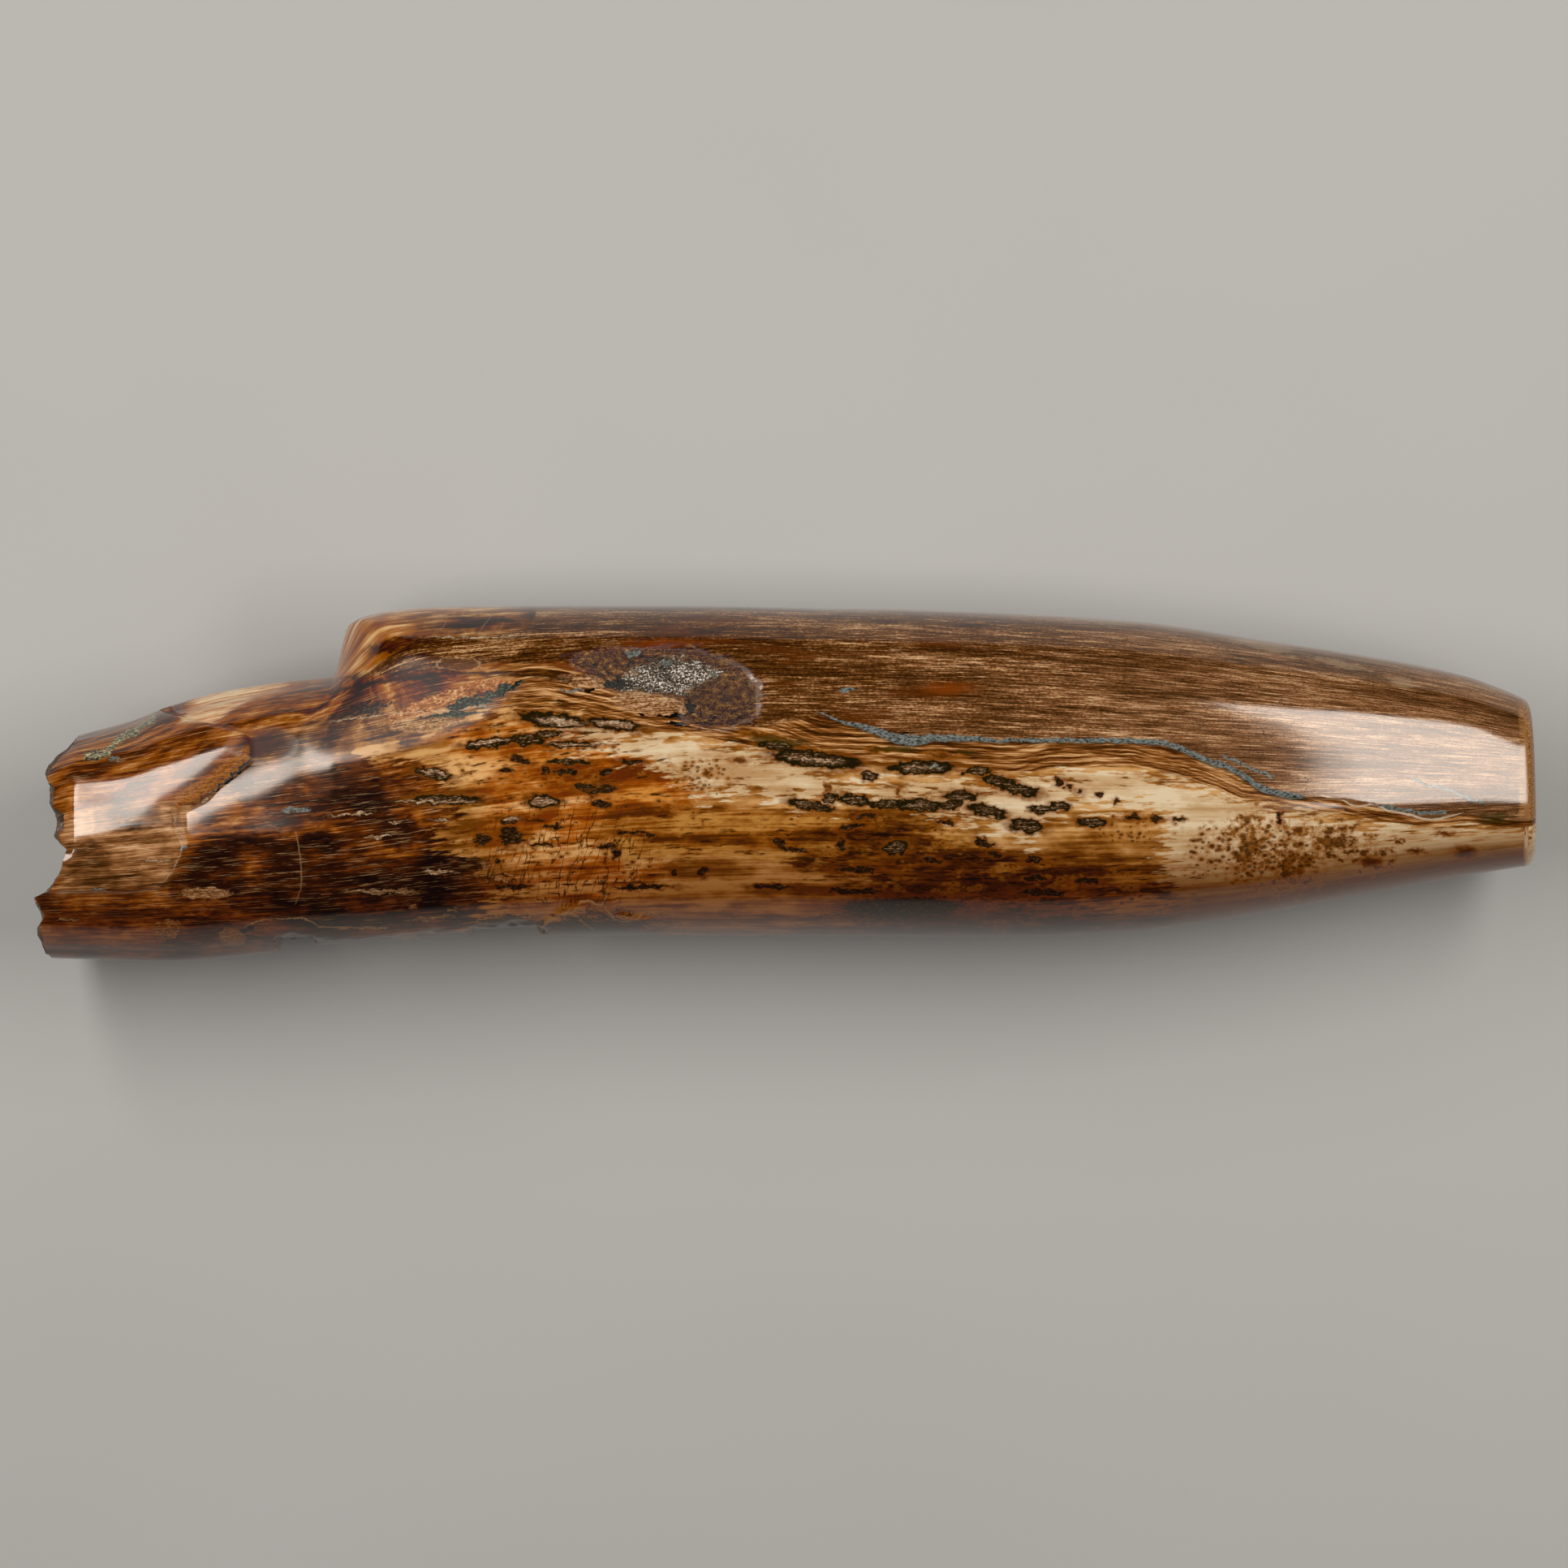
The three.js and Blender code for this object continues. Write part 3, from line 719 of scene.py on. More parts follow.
def step(value, low, high, to_low=0.0, to_high=1.0):
    """A smooth rise from to_low to to_high while the value goes from low to high"""
    inputs = {0: value, 1: low, 2: high, 3: to_low, 4: to_high}
    return node(value.tree, "MapRange", inputs, interpolation_type="SMOOTHSTEP")


def parts_of(vector):
    """The vector's three numbers"""
    made = vector.tree.nodes.new("ShaderNodeSeparateXYZ")
    vector.tree.links.new(vector.socket, made.inputs[0])
    return [Value(output) for output in made.outputs]


def channels_of(colour):
    """The colour's red, green and blue"""
    made = colour.tree.nodes.new("ShaderNodeSeparateColor")
    colour.tree.links.new(colour.socket, made.inputs[0])
    return [Value(output) for output in made.outputs]


def joined(x, y, z):
    return node(tree_of((x, y, z)), "CombineXYZ", {0: x, 1: y, 2: z})


def pattern_place(vector, seed, sizes):
    """The vector in units of the given sizes, at a place of its own for each seed"""
    shift = (seed * 7.3, seed * 3.1, seed * 5.7)
    inputs = {"Vector": vector, "Location": shift, "Scale": [1 / size for size in sizes]}
    return node(vector.tree, "Mapping", inputs, vector_type="POINT")


def clouds(vector, seed, sizes, detail=3.0, roughness=0.55, output=0):
    """Noise from 0 to 1 whose features have the given sizes along x, y and z, or along x and y alone"""
    flat = len(sizes) == 2
    inputs = {
        "Vector": pattern_place(vector, seed, (*sizes, 1) if flat else sizes),
        "Scale": 1.0, "Detail": detail, "Roughness": roughness,
    }
    return node(vector.tree, "TexNoise", inputs, output, noise_dimensions="2D" if flat else "3D")


def dots(vector, seed, sizes, amount):
    """How far inside the nearest scattered dot, in dot spacings. Dots are larger where the amount is."""
    place = pattern_place(vector, seed, (*sizes, 1))
    made = vector.tree.nodes.new("ShaderNodeTexVoronoi")
    made.voronoi_dimensions = "2D"
    made.inputs["Scale"].default_value = 1.0
    vector.tree.links.new(place.socket, made.inputs["Vector"])
    size, _, _ = channels_of(Value(made.outputs["Color"]))
    return size * amount - Value(made.outputs["Distance"])


def tone(red, green, blue):
    """A colour as the photograph shows it, from 0 to 255, as light that the surface reflects"""
    shares = [channel / 255 for channel in (red, green, blue)]
    return [((s + 0.055) / 1.055) ** 2.4 if s > 0.04045 else s / 12.92 for s in shares] + [1]


def mix_node(tree, factor, a, b, **settings):
    return node(tree, "Mix", {0: factor, 6: a, 7: b}, output=2, data_type="RGBA", **settings)


def mixed(a, b, factor):
    """Colour a, and colour b where the factor is 1"""
    return mix_node(factor.tree, factor, a, b)


def tinted(a, b, factor):
    """Colour a multiplied by colour b where the factor is 1"""
    return mix_node(factor.tree, factor, a, b, blend_type="MULTIPLY")


def blend(a, b, factor):
    """Number a, and number b where the factor is 1"""
    return node(factor.tree, "Mix", {0: factor, 2: a, 3: b}, data_type="FLOAT")


def less_haze(colour, amount):
    """The colour without the grey that reflections add to it where it's matt or turned away from above"""
    haze = mixed(LEAST_HAZE, MOST_HAZE, amount)
    return mix_node(colour.tree, 1.0, colour, haze, blend_type="SUBTRACT", clamp_result=True)


def graded(value, stops):
    """A colour from stops: each a value, and red, green and blue as tone() takes them"""
    made = value.tree.nodes.new("ShaderNodeValToRGB")
    value.tree.links.new(value.socket, made.inputs[0])
    elements = made.color_ramp.elements
    while len(elements) < len(stops):
        elements.new(1.0)
    for element, (place, *shown) in zip(elements, stops):
        element.position = place
        element.color = tone(*shown)
    return Value(made.outputs[0])


def curve(value, points):
    """A number that follows the points as the value goes along them"""
    xs, ys = zip(*points)
    low_x, wide = xs[0], xs[-1] - xs[0]
    low_y, tall = min(ys), max(max(ys) - min(ys), 1e-6)
    along = (value - low_x) / wide
    made = value.tree.nodes.new("ShaderNodeFloatCurve")
    value.tree.links.new(along.socket, made.inputs["Value"])
    line = made.mapping.curves[0]
    while len(line.points) < len(points):
        line.points.new(0.5, 0.5)
    for point, x, y in zip(line.points, xs, ys):
        point.location = ((x - low_x) / wide, (y - low_y) / tall)
        point.handle_type = "AUTO_CLAMPED"
    made.mapping.update()
    return Value(made.outputs[0]) * tall + low_y


def marks(place, shapes):
    """0 at the nearest mark's middle and 1 on its outline, for marks of two half sizes and a tilt"""
    across, down, _ = parts_of(place)
    nearest = None
    tilts = [TILT_STEP * round(shape[4] / TILT_STEP) for shape in shapes]
    for tilt in sorted(set(tilts)):
        slope = math.tan(math.radians(tilt))
        sheared = joined(across, down - across * slope, 0.0)
        for x, y, half_length, half_height, _ in (shape for shape, own in zip(shapes, tilts) if own == tilt):
            inputs = {
                0: sheared, 1: (1 / half_length, 1 / half_height, 0),
                2: (-x / half_length, (x * slope - y) / half_height, 0),
            }
            inside = node(place.tree, "VectorMath", inputs, operation="MULTIPLY_ADD")
            length = node(place.tree, "VectorMath", {0: inside}, output=1, operation="LENGTH")
            nearest = length if nearest is None else smallest(nearest, length)
    return nearest


def line_cover(along, across, line, width, soft=0.8):
    """1 on a line whose pixels are given, 0 away from it. Its half width is a number, or goes along it."""
    away = size_of(across - curve(along, line))
    if isinstance(width, list):
        width = curve(along, width)
    ends = step(along, line[0][0], line[0][0] + 4) * step(along, line[-1][0] - 4, line[-1][0], 1, 0)
    return step(away - width, -soft, soft, 1, 0) * ends


class Surface:
    """The places and patterns that every part of the tusk's material shares"""

    def __init__(self, tree):
        self.tree = tree
        self.photo = attribute(tree, "photo", 1)
        self.skin = attribute(tree, "skin", 1)
        self.depth = attribute(tree, "depth")
        skin = self.skin
        self.fine = clouds(skin, 1, (8, 0.26, 0.26), 2, 0.6)
        self.streak = clouds(skin, 2, (26, 1.1, 1.1), 3, 0.6)
        self.broad = clouds(skin, 3, (55, 6, 6), 2, 0.5)
        self.cloud = clouds(skin, 4, (9, 5, 5), 3, 0.6)
        self.grit = clouds(skin, 5, (0.9, 0.5, 0.5), 2, 0.6)
        self.ragged = clouds(skin, 6, (6, 1.3, 1.3), 3, 0.6)
        self.px, self.py, _ = parts_of(self.photo)
        _, self.far, self.high = parts_of(self.skin)
        sway, bob, _ = channels_of(clouds(self.photo, 7, (12, 9), 2, output=1))
        self.wobbled = joined(self.px + (sway - 0.5) * 18, self.py + (bob - 0.5) * 11, 0.0)
        self.waver = (self.grit - 0.5) * 4 + (bob - 0.5) * 6

    def number(self, name):
        return attribute(self.tree, name)

    def inside(self, name, soft=0.3, rag=0.0):
        """1 inside a named part of the surface. Its edge is soft and ragged by so many millimetres."""
        distance = self.number(name)
        if rag:
            distance = distance + (self.ragged - 0.5) * (rag * 4)
        return step(distance, -soft, soft)


def varied(*shares):
    """Patterns weighed together about one half"""
    total = 0.5
    for pattern, weight in shares:
        total = (pattern - 0.5) * weight + total
    return total


def bark_colour(s):
    """Dark brown bark with fine pale streaks and dark pores, paler and tan towards the sawn end"""
    value = varied((s.fine, 1.5), (s.streak, 0.6), (s.broad, 0.8), (s.grit, 0.7))
    brown = graded(value, [
        (0.2, 38, 17, 4), (0.42, 70, 37, 13), (0.58, 100, 58, 26), (0.72, 158, 108, 66),
        (0.86, 206, 164, 118),
    ])
    tan = graded(value, [
        (0.2, 56, 31, 15), (0.42, 102, 64, 36), (0.58, 136, 90, 56), (0.72, 180, 132, 92),
        (0.86, 214, 178, 138),
    ])
    colour = mixed(brown, tan, step(s.px + (s.cloud - 0.5) * 600, 900, 1650))
    red = clouds(s.skin, 12, (26, 6, 6), 2) * step(s.px, 560, 700) * step(s.px, 1500, 1100)
    colour = mixed(colour, tone(86, 38, 8), step(red, 0.52, 0.66, 0, 0.65))
    colour = mixed(colour, tone(118, 52, 10), step(marks(s.wobbled, RED_BARK), 0.3, 1.3, 0.75, 0))
    pores = step(s.grit + s.cloud * 0.3, 0.74, 0.80) * step(s.px, 1300, 1500)
    colour = mixed(colour, tone(38, 20, 10), pores * 0.85)
    worn = marks(s.wobbled, PALE_BARK) + (s.ragged - 0.5) * 2.4 + (s.grit - 0.5)
    pale = step(worn, 0.6, 1.2, 0.4, 0) * step(s.high, 2, 8)
    colour = mixed(colour, tone(178, 148, 112), pale)
    rim = step(s.px + (s.cloud - 0.5) * 8, 1871, 1875)
    sawn_rim = graded(s.fine, [(0.38, 92, 50, 20), (0.52, 150, 100, 56), (0.66, 190, 150, 104)])
    return mixed(colour, sawn_rim, rim)


def band_colour(s):
    """The layers between bark and ivory, cut at a low angle: tan, brown and orange stripes"""
    across = s.number("ivory")
    place = joined(s.px * 0.012, across * 1.15 + (s.cloud - 0.5) * 1.6, 0.0)
    stripes = clouds(place, 21, (1, 1), 3, 0.65)
    return graded(varied((stripes, 1.7), (s.fine, 1.0)), [
        (0.22, 48, 22, 5), (0.42, 98, 52, 18), (0.56, 140, 84, 38), (0.7, 186, 132, 80),
        (0.86, 214, 172, 122),
    ])


def stump_colour(s):
    """The stump of the lost cone: orange-brown, with pale specks along the layers it was torn from"""
    place = joined(s.px * 0.010, s.depth * 0.7 + s.py * 0.028 + (s.cloud - 0.5) * 1.4, 0.0)
    layers = clouds(place, 31, (1, 1), 3, 0.65)
    value = varied((layers, 1.5), (s.streak, 0.8), (s.fine, 0.65))
    colour = graded(value, [
        (0.15, 34, 12, 1), (0.4, 84, 37, 5), (0.56, 128, 64, 14), (0.72, 160, 94, 36), (0.9, 200, 146, 92),
    ])
    dusty = graded(value, [
        (0.2, 54, 28, 10), (0.42, 112, 67, 34), (0.56, 148, 98, 58), (0.7, 186, 134, 90),
        (0.88, 214, 172, 130),
    ])
    colour = mixed(colour, dusty, s.inside("dusty", 1.5, 1.2))
    dark = graded(value, [
        (0.2, 18, 4, 0), (0.48, 46, 16, 1), (0.62, 80, 33, 3), (0.78, 122, 60, 10), (0.94, 166, 98, 38),
    ])
    colour = mixed(colour, dark, s.inside("core", 2.0, 4.0))
    specks = step(varied((s.fine, 1.5), (s.ragged, 0.7)), 0.66, 0.76)
    colour = mixed(colour, tone(206, 160, 112), specks * 0.4)
    return mixed(colour, tone(30, 12, 3), step(varied((s.fine, 0.8), (s.ragged, 0.9)), 0.28, 0.38, 0.6, 0))


def ivory_colour(s):
    """Honey ivory with cream, orange, brown and amber parts that run into each other along the grain"""
    value = varied((s.streak, 0.9), (s.cloud, 0.9), (s.broad, 1.3))
    honey = graded(value, [(0.3, 106, 56, 12), (0.5, 164, 106, 46), (0.7, 204, 154, 96)])
    orange = graded(value, [(0.3, 116, 46, 2), (0.5, 174, 94, 26), (0.7, 222, 168, 106)])
    deep = graded(value, [(0.3, 92, 34, 1), (0.5, 148, 70, 8), (0.7, 204, 132, 56)])
    brown = graded(value, [(0.3, 76, 34, 4), (0.5, 136, 72, 16), (0.7, 184, 126, 58)])
    amber = graded(value, [(0.3, 56, 21, 1), (0.5, 118, 62, 10), (0.7, 176, 122, 56)])
    dark = graded(value, [(0.3, 26, 8, 0), (0.5, 68, 28, 2), (0.7, 124, 66, 13)])
    cream = graded(value, [(0.25, 184, 142, 96), (0.5, 208, 176, 134), (0.7, 222, 198, 162)])
    colour = mixed(honey, orange, s.inside("orange", 4.0, 2.5))
    colour = mixed(colour, brown, s.inside("brown_ivory", 3.0, 2.5))
    colour = mixed(colour, deep, s.inside("deep_orange", 2.5, 2.0))
    colour = mixed(colour, amber, s.inside("amber", 3.0, 6.0))
    colour = mixed(colour, dark, s.inside("deep_amber", 3.0, 7.0))
    # Painted shade, with some of the cream's own honey tone: cream darker and yellower towards the near
    # flank
    cream = tinted(cream, tone(160, 118, 70), step(s.far + (s.streak - 0.5) * 6, -22, -38))
    return mixed(colour, cream, s.inside("cream", 1.6, 7.0))


def ivory_marks(s, colour):
    """Brown stains and dashes along the grain, cracks across it, sprinkled dots, and lens marks"""
    orange, amber, brown = (s.inside(name, 2, 0.6) for name in ("orange", "amber", "brown_ivory"))
    stained = largest(orange, largest(amber, brown))
    stain = clouds(s.skin, 41, (5.5, 1.2, 1.2), 3, 0.6) + s.inside("deep_amber", 3) * 0.08
    colour = mixed(colour, tone(104, 50, 6), step(stain, 0.53, 0.63) * stained * 0.7)
    colour = mixed(colour, tone(34, 13, 2), step(stain, 0.61, 0.67) * stained * 0.85)
    slanted = joined(s.px * 0.085 + s.py * 0.02, s.py * 0.02, 0.0)
    crack = size_of(clouds(slanted, 43, (1, 1), 2, 0.5) - 0.5)
    cracked = step(marks(s.photo, CRACKED) + (s.ragged - 0.5), 0.75, 1.1, 1, 0)
    colour = mixed(colour, tone(60, 25, 4), step(crack, 0.006, 0.032, 0.9, 0) * cracked)
    sprinkled = step(marks(s.wobbled, SPRINKLED), 0.5, 1.3, 0.55, 0)
    amount = largest(sprinkled, stained * step(s.cloud, 0.42, 0.62) * 0.5)
    blot = clouds(s.photo, 48, (13, 10), 3, 0.6) - marks(s.wobbled, CLUSTERS) * 0.26
    colour = mixed(colour, tone(168, 114, 60), step(blot, 0.16, 0.34, 0, 0.8))
    blotched = graded(s.grit, [(0.4, 62, 30, 8), (0.6, 112, 66, 26)])
    colour = mixed(colour, blotched, step(blot, 0.3, 0.44, 0, 0.95))
    dotted = step(amount, 0.05, 0.4)
    dot = dots(s.photo, 44, (11, 8), amount) + (s.grit - 0.5) * 0.3
    colour = mixed(colour, tone(162, 100, 38), step(dot, -0.4, 0.2, 0, 0.65) * dotted)
    stained_dot = graded(dot, [(0.1, 118, 64, 16), (0.45, 58, 25, 5)])
    colour = mixed(colour, stained_dot, step(dot, -0.02, 0.4, 0, 0.95) * dotted)
    small = dots(s.photo, 45, (8, 6), sprinkled * 1.1)
    colour = mixed(colour, tone(84, 50, 22), step(small, 0.1, 0.3, 0, 0.8) * dotted)
    spot = marks(s.wobbled, SPOTS)
    colour = mixed(colour, tone(148, 84, 24), step(spot, 0.6, 1.5, 0.8, 0))
    colour = mixed(colour, tone(80, 38, 8), step(spot, 0.3, 1.0, 0.9, 0))
    dash = marks(s.wobbled, DASHES) + (s.ragged - 0.5) * 0.7
    colour = mixed(colour, tone(124, 60, 10), step(dash, 0.8, 2.0, 0.8, 0))
    inky = graded(s.grit, [(0.4, 22, 9, 3), (0.62, 62, 38, 22), (0.74, 126, 100, 76)])
    colour = mixed(colour, inky, step(dash, 0.75, 1.1, 1, 0))
    lens = marks(s.wobbled, LENSES) + (s.ragged - 0.5) * 0.5
    colour = mixed(colour, tone(118, 62, 16), step(lens, 0.9, 1.6, 0.85, 0))
    colour = mixed(colour, tone(26, 20, 7), step(lens, 0.85, 1.05, 1, 0))
    core = graded(varied((s.fine, 1.2), (s.grit, 1.2)), [
        (0.3, 26, 15, 7), (0.5, 62, 40, 22), (0.68, 106, 80, 56), (0.84, 164, 136, 108),
    ])
    return mixed(colour, core, step(lens, 0.55, 0.75, 1, 0))


def nose_colour(s, colour):
    """The end of the outer cone, where the bark has gone: cream and orange ivory with dark streaks"""
    streaks, patches = clouds(s.skin, 46, (15, 1.6, 1.6), 2, 0.5), clouds(s.skin, 47, (9, 4, 4), 2)
    value = varied((streaks, 0.8), (patches, 0.8), (s.fine, 0.4))
    pale = graded(value, [(0.3, 124, 60, 8), (0.5, 176, 104, 36), (0.7, 234, 190, 130)])
    deep = graded(value, [(0.3, 20, 7, 0), (0.5, 62, 26, 2), (0.68, 128, 66, 14)])
    shaded = step(marks(s.wobbled, NOSE_DARK) + (streaks - 0.5) * 1.2, 0.5, 1.5, 1, 0)
    shaded = largest(shaded, step(s.px, 600, 660))
    above = step(s.high + (s.ragged - 0.5) * 16, -10, -3)
    return mixed(colour, mixed(pale, deep, shaded), s.inside("nose", 0.8, 0.8) * above)


def pit_colour(s, colour):
    """The pit: brown broken walls, pale grey crystals, and a round scar like a knot in wood"""
    rough = clouds(s.skin, 51, (1.6, 1.2, 1.2), 3, 0.7)
    wall = graded(varied((rough, 1.4), (s.cloud, 0.6)), [
        (0.28, 26, 12, 4), (0.46, 84, 50, 22), (0.6, 124, 80, 42), (0.76, 176, 132, 90),
    ])
    around = s.number("pit") + (s.ragged - 0.5) * 16 + (s.grit - 0.5) * 5
    colour = mixed(colour, wall, step(around, -1.6, 3.0))
    glint = clouds(s.skin, 52, (0.55, 0.45, 0.45), 1, 0.6)
    crystal = graded(glint + (s.cloud - 0.5) * 0.5, [
        (0.36, 40, 27, 17), (0.5, 92, 74, 58), (0.6, 158, 140, 122), (0.7, 244, 238, 230),
    ])
    colour = mixed(colour, crystal, s.inside("crystals", 0.8, 2.5))
    scar = marks(s.wobbled, [(*SCAR_PX, SCAR_SIZE[0] / PX, SCAR_SIZE[1] / PX, 0)])
    scar_brown = graded(rough, [(0.32, 44, 22, 8), (0.5, 86, 52, 25), (0.68, 134, 92, 54)])
    colour = mixed(colour, scar_brown, step(scar, 0.9, 1.0, 0.85, 0))
    outline = step(size_of(scar - 1.02), 0.01, 0.06, 0.75, 0) * step(s.ragged, 0.36, 0.5)
    pale_side = step(s.px + s.grit * 20, 912, 922) * step(s.py, 860, 870, 1, 0)
    return mixed(colour, mixed(tone(18, 10, 5), tone(112, 98, 82), pale_side), outline)


def patches_colour(s, colour):
    """Salmon and teal mineral in the cleft, and the cream patch on the stump's far edge"""
    mineral = varied((s.cloud, 1.0), (s.grit, 1.2))
    salmon = graded(mineral, [
        (0.26, 92, 44, 14), (0.5, 168, 98, 48), (0.66, 204, 146, 98), (0.8, 230, 196, 156),
    ])
    rag = (s.ragged - 0.5) * 1.4
    colour = mixed(colour, salmon, step(marks(s.wobbled, SALMON) + rag, 0.8, 1.1, 0.9, 0))
    teal = graded(s.grit, [(0.4, 8, 13, 13), (0.52, 22, 34, 32), (0.66, 96, 106, 88)])
    colour = mixed(colour, teal, step(marks(s.wobbled, TEAL) + rag, 0.85, 1.05, 1, 0))
    pale = graded(varied((s.streak, 1.0), (s.cloud, 1.0)), [
        (0.3, 176, 100, 42), (0.46, 216, 164, 112), (0.7, 242, 214, 174),
    ])
    colour = mixed(colour, tone(168, 88, 24), s.inside("cream_patch", 2.6, 1.6))
    colour = mixed(colour, pale, step(s.number("cream_patch") + (s.ragged - 0.5) * 4, -0.4, 1.2))
    window = marks(s.wobbled, WINDOW)
    colour = mixed(colour, tone(96, 58, 26), step(window + (s.ragged - 0.5) * 0.6, 0.7, 1.0, 0.7, 0))
    return mixed(colour, tone(176, 138, 104), step(size_of(window - 1.05), 0.03, 0.12, 0.6, 0))


def details_colour(s, colour):
    """Loose details of the broken parts: plates, pale flakes, painted shadow in gaps and under edges,
    mineral bits and cracks
    """
    grain = varied((s.fine, 1.2), (s.grit, 1.2))
    plate = graded(grain, [(0.26, 84, 48, 22), (0.5, 148, 100, 62), (0.74, 204, 164, 122)])
    colour = mixed(colour, plate, step(marks(s.wobbled, TAN_PLATES), 0.85, 1.05, 0.85, 0))
    hollow = marks(s.wobbled, [(*HOLLOW_PX, HOLLOW_SIZE[0] / PX, HOLLOW_SIZE[1] / PX, -20)])
    colour = mixed(colour, tone(66, 38, 18), step(hollow, 0.6, 1.1, 0.7, 0))
    orange = graded(grain, [(0.3, 104, 52, 14), (0.6, 168, 104, 48)])
    colour = mixed(colour, orange, line_cover(s.px, s.py + s.waver + 9, BEVEL, 10, 4) * 0.85)
    # Dark rough patches, partly painted shadow by the pit's step and the bottom chip's gap
    black = graded(s.grit, [(0.42, 12, 6, 3), (0.58, 50, 32, 18), (0.7, 104, 92, 78)])
    rough = marks(s.wobbled, ROUGH_DARK_AND_SHADOW) + (s.ragged - 0.5) * 1.6 + (s.grit - 0.5) * 2
    colour = mixed(colour, black, step(rough, 0.65, 1.0, 0.9, 0))
    colour = mixed(colour, tone(36, 16, 5), line_cover(s.px, s.py + s.waver, DARK_LINE, 2.5, 2.5) * 0.85)
    green = step(marks(s.wobbled, GREEN_STAINS) + (s.ragged - 0.5) * 1.6, 0.5, 1.0, 0.7, 0)
    colour = mixed(colour, tone(48, 42, 14), green)
    teal = graded(s.grit, [(0.4, 14, 22, 20), (0.5, 84, 92, 76), (0.62, 204, 182, 134)])
    colour = mixed(colour, teal, line_cover(s.px, s.py + s.waver * 1.6, TEAL_CRACK, 5.5, 2.5))
    # Painted shadow: near-black in the gaps and under the edges
    colour = mixed(colour, tone(10, 7, 5), step(marks(s.wobbled, PAINTED_SHADOW_GAPS), 0.75, 1.05, 1, 0))
    flake = graded(grain, [(0.26, 84, 54, 32), (0.5, 138, 102, 72), (0.76, 206, 178, 148)])
    flakes = marks(s.wobbled, PALE_FLAKES) + (s.grit - 0.5) * 0.8
    colour = mixed(colour, tone(30, 14, 5), step(flakes, 0.9, 1.7, 0.6, 0))
    return mixed(colour, flake, step(flakes, 0.7, 1.0, 0.95, 0))


def lines_colour(s, colour):
    """The blue-grey mineral line under the bark, a painted highlight along the bark's raised lower edge, and
    fine cracks
    """
    ragged = s.py + s.waver
    mineral = graded(s.grit, [(0.36, 34, 30, 25), (0.42, 84, 86, 80), (0.66, 128, 134, 130)])
    blue = line_cover(s.px, ragged, BLUE_LINE, BLUE_WIDTH)
    colour = mixed(colour, tone(36, 19, 9), line_cover(s.px, ragged - 2, BLUE_LINE, BLUE_WIDTH, 3) * 0.8)
    for line, width in BLUE_CRACKS:
        blue = largest(blue, line_cover(s.px, ragged, line, width))
    blue = largest(blue, step(marks(s.wobbled, BLUE_BITS), 0.7, 1.0, 0.9, 0))
    colour = mixed(colour, mineral, blue)
    # Painted highlight along the bark's raised edge; the pale cracks and plate edge added to it are the
    # ivory's own pale
    pale = line_cover(s.px, s.py + s.waver * 0.4, BARK_EDGE_HIGHLIGHT, BARK_EDGE_HIGHLIGHT_WIDTH)
    for line, width in PALE_CRACKS:
        pale = largest(pale, line_cover(s.px, ragged, line, width) * 0.8)
    pale = largest(pale, line_cover(s.py, s.px + s.waver, PLATE_EDGE, 0.5) * 0.5)
    colour = mixed(colour, tone(208, 186, 158), pale * step(s.ragged, 0.36, 0.5, 0.25, 0.9))
    fine = line_cover(s.py, s.px + s.waver * 0.5, CORE_CRACK, 0.7)
    for line in UPRIGHT_CRACKS:
        fine = largest(fine, line_cover(s.py, s.px + s.waver * 0.5, line, 0.5, 0.6))
    return mixed(colour, tone(150, 118, 84), fine * 0.6)


def finished(tree, colour, roughness, height):
    """The material's shader, from its colour, roughness and fine relief in millimetres"""
    bump = node(tree, "Bump", {"Height": height, "Distance": MM, "Strength": 1.0})
    inputs = {
        "Base Color": colour, "Roughness": roughness, "IOR": IVORY_IOR,
        "Specular Tint": REFLECTION_TINT, "Normal": bump,
    }
    shader = node(tree, "BsdfPrincipled", inputs)
    output = tree.nodes.new("ShaderNodeOutputMaterial")
    tree.links.new(shader.socket, output.inputs["Surface"])


def empty_material(name):
    material = bpy.data.materials.new(name)
    material.use_nodes = True
    material.node_tree.nodes.clear()
    return material


def broken_material():
    """The broken face: growth layers in brown and grey, paler where they are splintered"""
    material = empty_material("broken_ivory")
    tree = material.node_tree
    skin, depth = attribute(tree, "skin", 1), attribute(tree, "depth")
    cloud = clouds(skin, 62, (9, 5, 5), 3)
    grit = clouds(skin, 63, (0.9, 0.6, 0.6), 3, 0.6)
    layers = clouds(joined(depth * 0.9 + (cloud - 0.5) * 6, grit * 2, 0.0), 61, (1, 1), 4, 0.6)
    colour = graded(varied((layers, 1.2), (grit, 1.0), (cloud, 0.8)), [
        (0.2, 44, 24, 13), (0.42, 92, 60, 38), (0.58, 132, 100, 74), (0.74, 160, 142, 122),
        (0.88, 204, 202, 192),
    ])
    finished(tree, colour, 0.65, grit * 0.8 + layers * 0.8)
    return material


